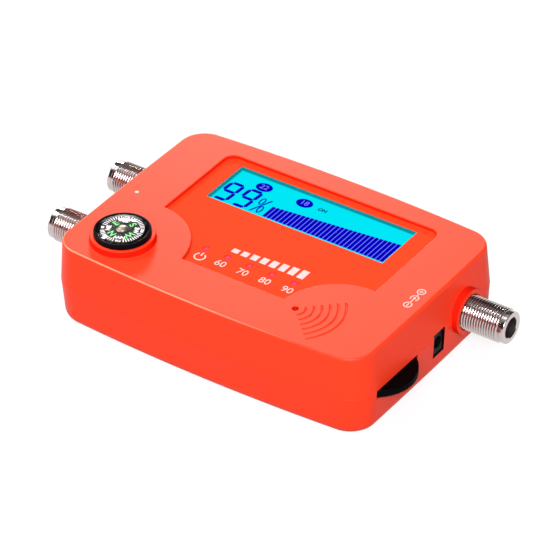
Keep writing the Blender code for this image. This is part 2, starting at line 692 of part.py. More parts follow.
def make_lower_case():
    material = MATERIALS["case"]
    top = SEAM_HEIGHT - GAP / 2
    lip_top = SEAM_HEIGHT + LIP_HEIGHT
    sections = edge_rings(BOTTOM_EDGE_RADIUS, BOTTOM_EDGE_RADIUS, BOTTOM_FLARE, False)
    sections.append((top, flare(top)))
    sections.append((top, flare(top) - WALL + LIP_THICKNESS))
    sections.append((lip_top, flare(lip_top) - WALL + LIP_THICKNESS))
    shell = outer_shell("lower_case", sections, material)
    cavity = [(FLOOR, flare(FLOOR) - WALL - INNER_CHAMFER), (FLOOR + INNER_CHAMFER, flare(FLOOR) - WALL),
              (top, flare(top) - WALL), (lip_top + OVERRUN, flare(lip_top) - WALL)]
    cut(shell, outer_shell("cavity", cavity, material))
    posts = [rod("boss", CASE_BOSS_RADIUS, FLOOR - OVERLAP, top, material, (x, y, 0))
             for x, y in CASE_SCREWS]
    posts += [rod("boss", BOARD_BOSS_RADIUS, FLOOR - OVERLAP, MAIN_BOARD_BOTTOM - GAP, material, (x, y, 0))
              for x, y in BOARD_SCREWS]
    join(shell, *posts, *half_collars(top, False))
    tools = end_wall_tools() + [dc_tool(lip_top + OVERRUN), wheel_tool(lip_top + OVERRUN)]
    for x, y in CASE_SCREWS:
        tools.append(rod("head_tool", CASE_SCREW_HEAD_RADIUS + SCREW_CLEARANCE, -OVERRUN, CASE_SCREW_SEAT,
                         material, (x, y, 0)))
        tools.append(rod("shank_tool", CASE_SCREW_RADIUS + SCREW_CLEARANCE, CASE_SCREW_SEAT - OVERLAP,
                         lip_top + OVERRUN, material, (x, y, 0), segments=SMALL_SEGMENTS))
        tools.append(rod("lip_tool", CASE_BOSS_RADIUS + GAP, top, lip_top + OVERRUN, material, (x, y, 0)))
    for x, y in BOARD_SCREWS:
        tools.append(rod("pilot", BOARD_SCREW_RADIUS + SCREW_CLEARANCE, BOARD_SCREW_FLOOR,
                         MAIN_BOARD_BOTTOM + OVERRUN, material, (x, y, 0), segments=SMALL_SEGMENTS))
    cut(shell, *tools)
    return finish(shell)


# Display

def display_block(name, length, depth, bottom, top, material):
    """A flat block centred on the display."""
    return box(name, (DISPLAY_X - length / 2, DISPLAY_Y - depth / 2, bottom),
               (DISPLAY_X + length / 2, DISPLAY_Y + depth / 2, top), material)


def make_display():
    face_length = WINDOW_LENGTH - GAP * 2
    face_depth = WINDOW_DEPTH - GAP * 2
    finish(display_block("display_window", face_length, face_depth, WINDOW_BOTTOM,
                         WINDOW_BOTTOM + WINDOW_THICKNESS, MATERIALS["window"]))
    panel = display_block("display_panel", PANEL_LENGTH, PANEL_DEPTH, PANEL_BOTTOM, PANEL_TOP,
                          MATERIALS["panel"])
    join(panel, display_block("face", face_length, face_depth, PANEL_TOP - OVERLAP, WINDOW_BOTTOM - GAP,
                              MATERIALS["panel"]))
    finish(panel)
    finish(display_block("display_backlight", PANEL_LENGTH, PANEL_DEPTH, BACKLIGHT_BOTTOM,
                         BACKLIGHT_BOTTOM + BACKLIGHT_THICKNESS, MATERIALS["backlight"]))
    inner_length = PANEL_LENGTH + GAP * 2
    inner_depth = PANEL_DEPTH + GAP * 2
    frame = display_block("display_frame", inner_length + FRAME_WALL * 2, inner_depth + FRAME_WALL * 2,
                          ON_DISPLAY_BOARD, PANEL_TOP, MATERIALS["black"])
    cut(frame, display_block("inside", inner_length, inner_depth, ON_DISPLAY_BOARD - OVERRUN,
                             PANEL_TOP + OVERRUN, MATERIALS["black"]))
    finish(frame)


def make_light(name, x):
    """One indicator light on its two legs."""
    material = MATERIALS["light"]
    top = LABEL_HEIGHT - LIGHT_SINK
    bottom = top - LIGHT_BODY_HEIGHT
    straight = top - LIGHT_RADIUS
    dome = arc((0, straight), LIGHT_RADIUS, 0.0, math.pi / 2, EDGE_SEGMENTS)[:-1]
    flange_top = bottom + LIGHT_FLANGE_HEIGHT
    profile = [(0, bottom), (LIGHT_FLANGE_RADIUS, bottom), (LIGHT_FLANGE_RADIUS, flange_top),
               (LIGHT_RADIUS, flange_top)]
    profile += dome + [(0, top)]
    light = revolve(name, profile, material, (x, LIGHT_Y, 0), segments=SMALL_SEGMENTS)
    half = LIGHT_LEG_WIDTH / 2
    for side in (-1, 1):
        centre = x + side * LIGHT_LEG_SPREAD / 2
        join(light, box("leg", (centre - half, LIGHT_Y - half, ON_DISPLAY_BOARD),
                        (centre + half, LIGHT_Y + half, bottom + OVERLAP), material))
    return finish(light)


# Compass

def make_compass():
    place = (COMPASS_X, COMPASS_Y, 0)
    inner = CUP_RADIUS - CUP_RIM_WIDTH
    ledge = CUP_TOP - LENS_SEAT
    floor_top = CUP_BOTTOM + CUP_FLOOR
    seat = inner - LENS_LEDGE
    profile = [(0, CUP_BOTTOM), (CUP_RADIUS, CUP_BOTTOM), (CUP_RADIUS, CUP_TOP), (inner, CUP_TOP),
               (inner, ledge), (seat, ledge), (seat, floor_top), (0, floor_top)]
    finish(revolve("compass_cup", profile, MATERIALS["black"], place, segments=FINE_SEGMENTS))

    face = CUP_TOP - CARD_DEPTH
    card_bottom = face - CARD_THICKNESS
    hub_bottom = face - CARD_HUB_HEIGHT
    profile = [(0, card_bottom), (CARD_SOCKET_RADIUS, card_bottom), (CARD_SOCKET_RADIUS, hub_bottom),
               (CARD_HUB_RADIUS, hub_bottom), (CARD_HUB_RADIUS, card_bottom), (CARD_RADIUS, card_bottom),
               (CARD_RADIUS, face), (0, face)]
    card = revolve("compass_card", profile, MATERIALS["card"], (0, 0, -face), segments=FINE_SEGMENTS)
    card.location = (COMPASS_X, COMPASS_Y, face)
    finish(card)

    base_bottom = floor_top + GAP
    base_top = base_bottom + PIVOT_BASE_HEIGHT
    profile = [(0, base_bottom), (PIVOT_BASE_RADIUS, base_bottom), (PIVOT_BASE_RADIUS, base_top),
               (PIVOT_RADIUS, base_top), (PIVOT_RADIUS, card_bottom - GAP * 2), (0, card_bottom - GAP)]
    finish(revolve("compass_pivot", profile, MATERIALS["steel"], place, segments=SMALL_SEGMENTS))

    lens_radius = inner - GAP
    lens_bottom = ledge + GAP
    lens_edge = lens_bottom + LENS_SKIRT
    hollow_radius = lens_radius - LENS_THICKNESS
    crown = lens_edge + LENS_RISE
    outer = dome_profile(lens_radius, lens_edge, crown)
    hollow = dome_profile(hollow_radius, lens_edge - LENS_THICKNESS / 2, crown - LENS_THICKNESS)
    profile = [(lens_radius, lens_bottom)] + outer + list(reversed(hollow)) + [(hollow_radius, lens_bottom)]
    finish(revolve("compass_lens", profile, MATERIALS["lens"], place, segments=FINE_SEGMENTS))


def dome_profile(radius, edge, crown):
    """Points of a shallow dome from its edge up to its crown on the axis."""
    rise = crown - edge
    points = []
    for step in range(EDGE_SEGMENTS):
        turn = math.pi / 2 * step / EDGE_SEGMENTS
        points.append((radius * math.cos(turn), edge + rise * math.sin(turn)))
    return points + [(0, crown)]


# Coaxial sockets

def socket_block_front(y):
    """How far out the block behind a socket reaches."""
    edge = abs(y) + SOCKET_BLOCK_WIDTH / 2
    return inner_face(ON_BOARD, SOCKET_AXIS_HEIGHT + SOCKET_BLOCK_TOP, edge)


def make_socket(name, side, y):
    """A threaded socket: metal shell with its block, insulator and centre contact."""
    axis = "X" if side > 0 else "-X"
    face = wall_face(SOCKET_AXIS_HEIGHT, y)
    place = (side * face, y, SOCKET_AXIS_HEIGHT)
    end = SOCKET_REACH
    block_front = socket_block_front(y) - face
    block_back = block_front - SOCKET_BLOCK_LENGTH
    root = THREAD_RADIUS - THREAD_DEPTH

    profile = [(0, block_front - OVERLAP), (root, block_front - OVERLAP)]
    ridges = math.ceil((end - SOCKET_NOSE - SOCKET_COLLAR_HEIGHT) / THREAD_PITCH) + 1
    first = end - SOCKET_NOSE - ridges * THREAD_PITCH
    for index in range(ridges):
        height = first + THREAD_PITCH * index
        profile += [(root, height), (THREAD_RADIUS, height + THREAD_PITCH / 2)]
    ring_radius = THREAD_RADIUS - SOCKET_CHAMFER
    profile += [(root, end - SOCKET_NOSE), (ring_radius, end - SOCKET_NOSE),
                (ring_radius, end - SOCKET_CHAMFER), (SOCKET_NOSE_RADIUS - SOCKET_CHAMFER, end), (0, end)]
    shell = revolve(name + "_shell", profile, MATERIALS["nickel"], place, axis, THREAD_SEGMENTS)

    half = SOCKET_BLOCK_WIDTH / 2
    inner_x, outer_x = sorted((side * (face + block_back), side * (face + block_front)))
    join(shell, box("block", (inner_x, y - half, ON_BOARD),
                    (outer_x, y + half, SOCKET_AXIS_HEIGHT + SOCKET_BLOCK_TOP), MATERIALS["nickel"]))
    cut(shell, rod("bore", SOCKET_BORE_RADIUS, block_back + SOCKET_BLOCK_BORE_END, end + OVERRUN,
                   MATERIALS["nickel"], place, axis))
    cut(shell, rod("rear_hole", CONTACT_RADIUS + GAP, block_back - OVERRUN, end, MATERIALS["nickel"], place,
                   axis, SMALL_SEGMENTS))
    finish(shell)

    outer = SOCKET_BORE_RADIUS - GAP
    bore = CONTACT_RADIUS + GAP
    low = block_back + SOCKET_BLOCK_BORE_END + GAP
    high = end - SOCKET_SINK
    profile = [(bore, low), (outer, low), (outer, high), (bore, high)]
    finish(revolve(name + "_insulator", profile, MATERIALS["insulator"], place, axis))

    back = block_back - GAP - CONTACT_LEG_WIDTH
    front = high - CONTACT_SINK
    profile = [(0, back), (CONTACT_RADIUS, back), (CONTACT_RADIUS, front), (CONTACT_BORE_RADIUS, front),
               (CONTACT_BORE_RADIUS, front - CONTACT_BORE_DEPTH), (0, front - CONTACT_BORE_DEPTH)]
    contact = revolve(name + "_contact", profile, MATERIALS["brass"], place, axis, SMALL_SEGMENTS)
    half = CONTACT_LEG_WIDTH / 2
    leg = side * (face + back + half)
    join(contact, box("leg", (leg - half, y - half, MAIN_BOARD_BOTTOM - CONTACT_LEG_TAIL),
                      (leg + half, y + half, SOCKET_AXIS_HEIGHT), MATERIALS["brass"]))
    return finish(contact)


# DC socket

def make_dc_socket():
    material = MATERIALS["black"]
    face = wall_face(DC_AXIS_HEIGHT, DC_Y)
    nose = face - DC_NOSE_SINK
    nose_top = DC_AXIS_HEIGHT + DC_NOSE_HEIGHT / 2
    body_top = nose_top + OVERLAP
    body_front = inner_face(ON_BOARD, body_top, DC_Y + DC_BODY_WIDTH / 2)
    body_back = body_front - DC_BODY_LENGTH
    half_body = DC_BODY_WIDTH / 2
    half_nose = DC_NOSE_WIDTH / 2
    body = box("dc_socket_body", (body_back, DC_Y - half_body, ON_BOARD),
               (body_front, DC_Y + half_body, body_top), material)
    join(body, box("nose", (body_front - OVERLAP, DC_Y - half_nose, DC_AXIS_HEIGHT - DC_NOSE_HEIGHT / 2),
                   (nose, DC_Y + half_nose, nose_top), material))
    place = (nose, DC_Y, DC_AXIS_HEIGHT)
    cut(body, rod("bore", DC_BORE_RADIUS, -DC_BORE_DEPTH, OVERRUN, material, place, "X"))
    cut(body, rod("pin_hole", DC_PIN_RADIUS + GAP, body_back - nose - OVERRUN, OVERRUN, material, place, "X",
                  SMALL_SEGMENTS))
    finish(body)
    tip = -DC_PIN_SINK
    profile = [(0, body_back - nose - DC_PIN_TAIL), (DC_PIN_RADIUS, body_back - nose - DC_PIN_TAIL),
               (DC_PIN_RADIUS, tip - DC_PIN_RADIUS / 2), (DC_PIN_RADIUS / 2, tip), (0, tip)]
    finish(revolve("dc_socket_pin", profile, MATERIALS["nickel"], place, "X", SMALL_SEGMENTS))


# Thumb wheel

def make_thumb_wheel():
    """The knurled wheel with its hub, its origin on its axis."""
    points = []
    for tooth in range(WHEEL_TEETH):
        for share, depth in zip(TOOTH_SHARES, (0, 0, WHEEL_TOOTH_DEPTH, WHEEL_TOOTH_DEPTH)):
            radius = WHEEL_RADIUS - depth
            turn = math.tau * (tooth + share) / WHEEL_TEETH
            points.append((radius * math.cos(turn), radius * math.sin(turn)))
    wheel = prism("thumb_wheel", points, 0.0, WHEEL_THICKNESS, MATERIALS["black"])
    join(wheel, rod("hub", WHEEL_HUB_RADIUS, -WHEEL_HUB_LENGTH, WHEEL_THICKNESS / 2, MATERIALS["black"],
                    (0, 0, 0), segments=SMALL_SEGMENTS))
    wheel.location = (WHEEL_X, WHEEL_Y, WHEEL_BOTTOM)
    finish(wheel)

    place = (WHEEL_X, WHEEL_Y, 0)
    top = WHEEL_BOTTOM - RUNNING_GAP
    material = MATERIALS["blue"]
    body = rod("potentiometer", POTENTIOMETER_RADIUS, ON_BOARD, top, material, place)
    half = POTENTIOMETER_BASE_WIDTH / 2
    join(body, box("base", (WHEEL_X - half, WHEEL_Y - half, ON_BOARD),
                   (WHEEL_X + half, WHEEL_Y + half, ON_BOARD + POTENTIOMETER_BASE_HEIGHT), material))
    cut(body, rod("bore", WHEEL_HUB_RADIUS + GAP, WHEEL_BOTTOM - WHEEL_HUB_LENGTH - GAP, top + OVERRUN,
                  material, place, segments=SMALL_SEGMENTS))
    finish(body)


# Boards and their parts

def make_main_board():
    material = MATERIALS["board"]
    inset = WALL - flare(MAIN_BOARD_BOTTOM) + BOARD_EDGE_CLEARANCE
    half_length = CASE_LENGTH / 2 - END_BOW - inset
    half_depth = CASE_DEPTH / 2 - LONG_SIDE_BOW - inset
    outline = rounded_rectangle(-half_length, half_length, -half_depth, half_depth, MAIN_BOARD_CORNER_RADIUS)
    board = prism("main_board", outline, MAIN_BOARD_BOTTOM, MAIN_BOARD_TOP, material)
    low = MAIN_BOARD_BOTTOM - OVERRUN
    high = MAIN_BOARD_TOP + OVERRUN
    for x, y in CASE_SCREWS:
        cut(board, rod("notch", CASE_BOSS_RADIUS + BOARD_HOLE_CLEARANCE, low, high, material, (x, y, 0)))
    for x, y in BOARD_SCREWS:
        cut(board, rod("hole", BOARD_SCREW_RADIUS + SCREW_CLEARANCE, low, high, material, (x, y, 0),
                       segments=SMALL_SEGMENTS))
    for _, side, y in SOCKETS:
        back = socket_block_front(y) - SOCKET_BLOCK_LENGTH - GAP
        centre = side * (back - CONTACT_LEG_WIDTH / 2)
        half = CONTACT_LEG_WIDTH / 2 + GAP
        cut(board, box("slot", (centre - half, y - half, low), (centre + half, y + half, high), material))
    return finish(board)


def make_display_board():
    material = MATERIALS["board"]
    outline = rounded_rectangle(-DISPLAY_BOARD_HALF_LENGTH, DISPLAY_BOARD_HALF_LENGTH, DISPLAY_BOARD_FRONT,
                                DISPLAY_BOARD_BACK, DISPLAY_BOARD_CORNER_RADIUS)
    board = prism("display_board", outline, DISPLAY_BOARD_BOTTOM, DISPLAY_BOARD_TOP, material)
    for x, y in DISPLAY_SCREWS:
        cut(board, rod("hole", BOARD_SCREW_RADIUS + SCREW_CLEARANCE, DISPLAY_BOARD_BOTTOM - OVERRUN,
                       DISPLAY_BOARD_TOP + OVERRUN, material, (x, y, 0), segments=SMALL_SEGMENTS))
    return finish(board)


def board_block(name, x, y, length, depth, bottom, top, material):
    return finish(box(name, (x - length / 2, y - depth / 2, bottom), (x + length / 2, y + depth / 2, top),
                      material))


def make_board_parts():
    shield = box("tuner_shield", (SHIELD_X - SHIELD_LENGTH / 2, SHIELD_Y - SHIELD_DEPTH / 2, ON_BOARD),
                 (SHIELD_X + SHIELD_LENGTH / 2, SHIELD_Y + SHIELD_DEPTH / 2, ON_BOARD + SHIELD_HEIGHT),
                 MATERIALS["tin"])
    half_length = SHIELD_LENGTH / 2 - SHIELD_SHEET
    half_depth = SHIELD_DEPTH / 2 - SHIELD_SHEET
    cut(shield, box("inside", (SHIELD_X - half_length, SHIELD_Y - half_depth, ON_BOARD - OVERRUN),
                    (SHIELD_X + half_length, SHIELD_Y + half_depth, ON_BOARD + SHIELD_HEIGHT - SHIELD_SHEET),
                    MATERIALS["tin"]))
    finish(shield)
    board_block("tuner_chip", SHIELD_X, SHIELD_Y, TUNER_CHIP_WIDTH, TUNER_CHIP_WIDTH, ON_BOARD,
                ON_BOARD + TUNER_CHIP_HEIGHT, MATERIALS["chip"])
    board_block("controller_chip", CONTROLLER_X, CONTROLLER_Y, CONTROLLER_WIDTH, CONTROLLER_WIDTH, ON_BOARD,
                ON_BOARD + CONTROLLER_HEIGHT, MATERIALS["chip"])
    board_block("voltage_regulator", REGULATOR_X, REGULATOR_Y, REGULATOR_LENGTH, REGULATOR_DEPTH, ON_BOARD,
                ON_BOARD + REGULATOR_HEIGHT, MATERIALS["chip"])
    finish(rod("supply_capacitor", CAPACITOR_RADIUS, ON_BOARD, ON_BOARD + CAPACITOR_HEIGHT, MATERIALS["tin"],
               (CAPACITOR_X, CAPACITOR_Y, 0)))
    plug_top = ON_BOARD + HEADER_PLUG_HEIGHT
    board_block("header_plug", HEADER_X, HEADER_Y, HEADER_LENGTH, HEADER_WIDTH, ON_BOARD, plug_top,
                MATERIALS["black"])
    board_block("header_socket", HEADER_X, HEADER_Y, HEADER_LENGTH, HEADER_WIDTH, plug_top + GAP,
                DISPLAY_BOARD_BOTTOM - GAP, MATERIALS["black"])
    place = (BUZZER_X, BUZZER_Y, 0)
    top = ON_BOARD + BUZZER_HEIGHT
    profile = [(0, ON_BOARD), (BUZZER_RADIUS, ON_BOARD), (BUZZER_RADIUS, top), (BUZZER_HOLE_RADIUS, top),
               (BUZZER_HOLE_RADIUS, top - BUZZER_HOLE_DEPTH), (0, top - BUZZER_HOLE_DEPTH)]
    finish(revolve("buzzer", profile, MATERIALS["black"], place))


# Screws

def make_screw(name, place, head_radius, head_height, radius, head, length, direction):
    """One screw with a cross in its head. The head's seat is at a height, and the shank goes up or down."""
    material = MATERIALS["screw"]
    x, y = place
    back = head - direction * head_height
    tip = head + direction * length
    profile = [(0, back), (head_radius, back), (head_radius, head), (radius, head),
               (radius, tip - direction * radius), (0, tip)]
    screw = revolve(name, profile, material, (x, y, 0), segments=SMALL_SEGMENTS)
    span = head_radius * DRIVE_SPAN_SHARE
    half = DRIVE_WIDTH / 2
    low, high = sorted((back - direction * OVERRUN, back + direction * head_height * DRIVE_DEPTH_SHARE))
    cut(screw, box("drive", (x - span, y - half, low), (x + span, y + half, high), material))
    cut(screw, box("drive", (x - half, y - span, low), (x + half, y + span, high), material))
    return finish(screw)


def make_screws():
    for index, place in enumerate(CASE_SCREWS):
        make_screw(f"case_screw_{index + 1}", place, CASE_SCREW_HEAD_RADIUS, CASE_SCREW_HEAD_HEIGHT,
                   CASE_SCREW_RADIUS, CASE_SCREW_SEAT - GAP, CASE_SCREW_LENGTH, 1)
    for index, place in enumerate(BOARD_SCREWS):
        make_screw(f"main_board_screw_{index + 1}", place, BOARD_SCREW_HEAD_RADIUS, BOARD_SCREW_HEAD_HEIGHT,
                   BOARD_SCREW_RADIUS, ON_BOARD, BOARD_SCREW_LENGTH, -1)
    for index, place in enumerate(DISPLAY_SCREWS):
        make_screw(f"display_board_screw_{index + 1}", place, BOARD_SCREW_HEAD_RADIUS,
                   BOARD_SCREW_HEAD_HEIGHT, BOARD_SCREW_RADIUS, DISPLAY_BOARD_BOTTOM - GAP,
                   DISPLAY_SCREW_LENGTH, 1)


def make_materials():
    return {
        "case": make_material("case_plastic", (0.85, 0.085, 0.025), 0.38),
        "window": make_material("window_plastic", (0.9, 0.97, 0.98), 0.08, alpha=0.25),
        "panel": make_material("display_glass", (0.0, 0.75, 0.8), 0.15),
        "backlight": make_material("light_guide", (0.8, 0.85, 0.85), 0.4),
        "black": make_material("black_plastic", (0.012, 0.012, 0.014), 0.35),
        "light": make_material("light_plastic", (0.55, 0.08, 0.25), 0.25),
        "card": make_material("card_plastic", (0.01, 0.01, 0.012), 0.5),
        "lens": make_material("lens_plastic", (0.95, 0.97, 0.97), 0.03, alpha=0.2),
        "steel": make_material("pivot_steel", (0.6, 0.6, 0.58), 0.25, 1.0),
        "nickel": make_material("nickel_plate", (0.72, 0.7, 0.68), 0.2, 1.0),
        "insulator": make_material("socket_insulator", (0.03, 0.03, 0.03), 0.6),
        "brass": make_material("contact_brass", (0.75, 0.55, 0.25), 0.3, 1.0),
        "blue": make_material("potentiometer_body", (0.02, 0.06, 0.2), 0.4),
        "board": make_material("circuit_board", (0.01, 0.12, 0.04), 0.45),
        "tin": make_material("tinned_sheet", (0.7, 0.7, 0.7), 0.3, 1.0),
        "chip": make_material("chip_resin", (0.015, 0.015, 0.015), 0.6),
        "screw": make_material("screw_steel", (0.35, 0.35, 0.36), 0.35, 1.0),
    }


clear_scene()
MATERIALS = make_materials()
make_upper_case()
make_lower_case()
make_display()
for light_index, light_name in enumerate(LIGHTS):
    make_light(light_name, LIGHT_FIRST_X + LIGHT_PITCH * light_index)
make_compass()
for socket_name, socket_side, socket_y in SOCKETS:
    make_socket(socket_name, socket_side, socket_y)
make_dc_socket()
make_thumb_wheel()
make_main_board()
make_display_board()
make_board_parts()
make_screws()
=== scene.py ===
"""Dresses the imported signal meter: its case, prints, display, compass, sockets, thumb wheel and studio.

Metres, +Z up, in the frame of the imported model. X runs along the case and the display lies at the back.
"""
import math

import bmesh
import bpy
from mathutils import Matrix, Vector


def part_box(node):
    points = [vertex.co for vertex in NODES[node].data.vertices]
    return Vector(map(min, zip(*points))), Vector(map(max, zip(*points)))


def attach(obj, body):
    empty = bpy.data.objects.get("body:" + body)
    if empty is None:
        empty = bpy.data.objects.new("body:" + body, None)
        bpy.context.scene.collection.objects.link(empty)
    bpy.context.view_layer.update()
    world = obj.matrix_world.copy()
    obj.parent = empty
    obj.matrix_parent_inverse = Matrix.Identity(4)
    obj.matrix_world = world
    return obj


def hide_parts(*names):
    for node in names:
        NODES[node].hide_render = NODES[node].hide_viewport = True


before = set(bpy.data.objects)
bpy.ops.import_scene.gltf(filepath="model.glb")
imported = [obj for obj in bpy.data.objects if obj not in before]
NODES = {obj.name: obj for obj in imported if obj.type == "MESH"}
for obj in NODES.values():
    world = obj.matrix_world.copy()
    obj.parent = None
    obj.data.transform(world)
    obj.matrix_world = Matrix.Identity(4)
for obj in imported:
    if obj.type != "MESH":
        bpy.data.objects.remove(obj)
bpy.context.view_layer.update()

# Camera
CAMERA_AZIMUTH = math.radians(35.60)
CAMERA_ELEVATION = math.radians(36.13)
CAMERA_ROLL = math.radians(-1.42)
CAMERA_DISTANCE = 0.92043
CAMERA_RIGHT = 0.001093
CAMERA_UP = 0.009029
CAMERA_LENS = 226.2
CAMERA_SENSOR = 36.0
CAMERA_NEAR = 0.05
CAMERA_FAR = 20.0

# Clearances, the reach of cuts and joins, and the thickness of a print
GAP = 0.0003
OVERLAP = 0.0006
OVERRUN = 0.003
INK = 0.00004

# Case
CASE_LENGTH = 0.0958
CASE_DEPTH = 0.0676
CASE_HEIGHT = 0.0237
CASE_CORNER_RADIUS = 0.0069
LONG_SIDE_BOW = 0.0019
END_BOW = 0.0003
SEAM_HEIGHT = 0.0118
SEAM_GAP = 0.00008
SEAM_ROUND = 0.00008
SEAM_FLARE = 0.00096
BOTTOM_FLARE = 0.0004
TOP_EDGE_RADIUS = 0.0008
BOTTOM_EDGE_RADIUS = 0.0028
WALL = 0.0022
FLOOR = 0.0018
LIP_HEIGHT = 0.001
LIP_THICKNESS = 0.0008
CEILING = 0.021
LABEL_HEIGHT = 0.0228
LABEL_LEFT = 0.0327
LABEL_RIGHT = 0.0339
LABEL_BACK = 0.0268
LABEL_FRONT = 0.0192
LABEL_CORNER_RADIUS = 0.003
LABEL_EDGE_ROUND = 0.00025
COMPASS_CLEARING_RADIUS = 0.0177
BUZZER_CLEARING = (0.0335, -0.021)
BUZZER_CLEARING_RADIUS = 0.0172

# Painted highlight along the top edge's crease: a pale colour standing for light caught there, from one turn up
# the rounding to another, fading along X
CREASE_LOW_TURN = math.radians(50)
CREASE_HIGH_TURN = math.radians(75)
CREASE_FADE_START = 0.0
CREASE_FADE_END = 0.03

# Display
DISPLAY = (0.0004, 0.01625)
WINDOW_LENGTH = 0.0556
WINDOW_DEPTH = 0.0165
WINDOW_TOP = 0.0227
GLASS_TOP = 0.022
# Width over which a painted shadow dims the display's glow along its rim
SHADOW_RIM_START = 0.0002
SHADOW_RIM_END = 0.0011
RIM_GAP = 0.00005
RIM_WIDTH = 0.0002
DIGIT_LEFTS = (-0.0264, -0.0205)
DIGIT_HEIGHT = 0.0089
DIGIT_WIDTH = 0.0047
DIGIT_STROKE = 0.00105
DIGIT_GAP_SHARE = 0.08
DIGIT_SLANT = 0.07
DIGIT_BASE = 0.0094
BADGES = {"22": (-0.0173, 0.0204), "18": (-0.0043, 0.0202)}
BADGE_REACH = (0.00245, 0.00185)
BADGE_SIZE = 0.0026
ON_PLACE = (0.0015, 0.0200)
ON_SIZE = 0.0017
PERCENT_RINGS = {"upper": (-0.0140, 0.0148), "lower": (-0.0125, 0.0115)}
PERCENT_RING_REACH = (0.0008, 0.0016)
PERCENT_HOLE_REACH = (0.0004, 0.0012)
PERCENT_STROKE = [(-0.0149, 0.0097), (-0.0144, 0.0097), (-0.0116, 0.0164), (-0.0121, 0.0164)]
DISPLAY_BARS = dict(Count=30, Pitch=0.001263, Width=0.00102, First_Height=0.0050, Last_Height=0.0088)
DISPLAY_BARS_START = (-0.00983, 0.0094)

# Prints on the case
LEVEL_BARS = dict(Count=8, Pitch=0.0029, Width=0.00195, First_Height=0.0017, Last_Height=0.0036)
LEVEL_BARS_START = (-0.0063, -0.00895)
SCALE_SIZE = 0.0033
SCALE_SHIFT = 0.0001
SCALE_Y = -0.0148
POWER_SIGN = (-0.0127, -0.0151)
POWER_SIGN_RADIUS = 0.00145
POWER_SIGN_STROKE = 0.00038
POWER_SIGN_OPENING = math.radians(35)
POWER_SIGN_BAR = (0.0004, 0.0019)
POLARITY_X = 0.0439
POLARITY_STROKE = 0.0003
POLARITY_RADIUS = 0.00105
POLARITY_MINUS_Y = -0.0043
POLARITY_PLUS_Y = 0.0021
POLARITY_MIDDLE_Y = -0.0011
POLARITY_OPENING = math.radians(45)
POLARITY_SIGN_REACH = 0.0006
POLARITY_DOT_RADIUS = 0.0004
POLARITY_LINKS = ((-0.0033, -0.0014), (0.0, 0.0011))
WHITE_DOT = (-0.0428, -0.0016)
WHITE_DOT_RADIUS = 0.00055

# Indicator lights
LIGHT_NAMES = ("power_light", "light_60", "light_70", "light_80", "light_90")
LIGHT_FIRST_X = -0.0135
LIGHT_PITCH = 0.00692
LIGHT_Y = -0.01135
LIGHT_RADIUS = 0.00095
LIGHT_RISE = 0.00025
LIGHT_GAP = 0.00004
LIGHT_SINK = 0.0001
LIGHT_BODY_HEIGHT = 0.0038
LIGHT_FLANGE_RADIUS = 0.0014
LIGHT_FLANGE_HEIGHT = 0.0008
LEG_SPREAD = 0.0008
LEG_REACH = 0.00025

# Buzzer
BUZZER = (0.0212, -0.0211)
SOUND_HOLE_RADIUS = 0.00095
GROOVE_COUNT = 6
GROOVE_FIRST_RADIUS = 0.0027
GROOVE_PITCH = 0.00204
GROOVE_WIDTH = 0.0007
GROOVE_DEPTH = 0.0004
GROOVE_HALF_ANGLE = math.radians(43)
GROOVE_PROFILE = ((1.0, 0.25), (0.85, 0.6), (0.5, 0.88), (0.0, 1.0), (-2.0, 1.0))

# Compass
COMPASS = (-0.033, -0.0208)
CUP_RADIUS = 0.00755
CUP_TOP = 0.02705
CUP_BOTTOM = 0.0199
CUP_FLOOR = 0.001
CUP_RIM_WIDTH = 0.00065
CUP_LEDGE = 0.0008
CUP_LEDGE_WIDTH = 0.0004
CUP_EDGE = 0.0002
CUP_EDGE_SHARE = 0.3
BOSS_TOP = 0.02565
BOSS_RIM_WIDTH = 0.0009
BOSS_FOOT_SPREAD = 0.0002
BOSS_FOOT_ROUND = 0.0003
BOSS_RIM_ROUND = 0.00015
POCKET_GAP = 0.00005
POCKET_WALL = 0.0015
POCKET_FLOOR = 0.0012
CARD_RADIUS = 0.0058
CARD_FACE = 0.02685
CARD_THICKNESS = 0.0004
CARD_HUB = (0.0007, 0.0012)
NORTH = math.radians(249)
LETTER_RADIUS = 0.0031
LETTER_SIZE = 0.0026
MARK_RADIUS = 0.0036
MARK_SIZE = 0.0017
TICK_RADIUS = 0.00515
TICK_LENGTH = 0.00115
TICK_WIDTH = 0.00022
TICK_COUNT = 48
TICKS_LEFT_OUT = 3.0
BEARINGS = ("45", "135", "225", "315")
BEARING_SIZE = 0.001
BOLD = 0.00005
CAP_RADIUS = 0.00155
CAP_HEIGHT = 0.00075
CAP_STEP_HEIGHT = 0.0002
CAP_STEP_ROUND = 0.0001
CAP_DOME_SHARE = 0.86
LENS_BOTTOM = 0.02655
LENS_SKIRT = 0.00045
LENS_RISE = 0.00125
LENS_THICKNESS = 0.0003

# Coaxial sockets: name, end of the case and place along the end wall
SOCKETS = (("satellite_socket", -1, 0.015), ("antenna_socket", -1, -0.0111), ("receiver_socket", 1, 0.015))
SOCKET_AXIS_HEIGHT = 0.012
SOCKET_REACH = 0.01395
SOCKET_INNER_REACH = 0.001
THREAD_RADIUS = 0.00476
THREAD_PITCH = 0.00079375
THREAD_DEPTH = 0.00036
THREAD_ROUND = 0.00004
THREAD_HIDDEN_TURNS = 2
NOSE_LENGTH = 0.0013
NOSE_RADIUS = 0.0044
NOSE_ROUND = 0.0003
NOSE_EDGE = 0.0001
BORE_RADIUS = 0.0028
BORE_CHAMFER = 0.0002
BLOCK_LENGTH = 0.0078
COLLAR_RADIUS = 0.0063
COLLAR_HEIGHT = 0.00165
COLLAR_ROUND = 0.0003

# Power socket
DC_Y = 0.00295
DC_AXIS_HEIGHT = 0.0091
DC_OPENING_WIDTH = 0.0051
DC_OPENING_HEIGHT = 0.0074

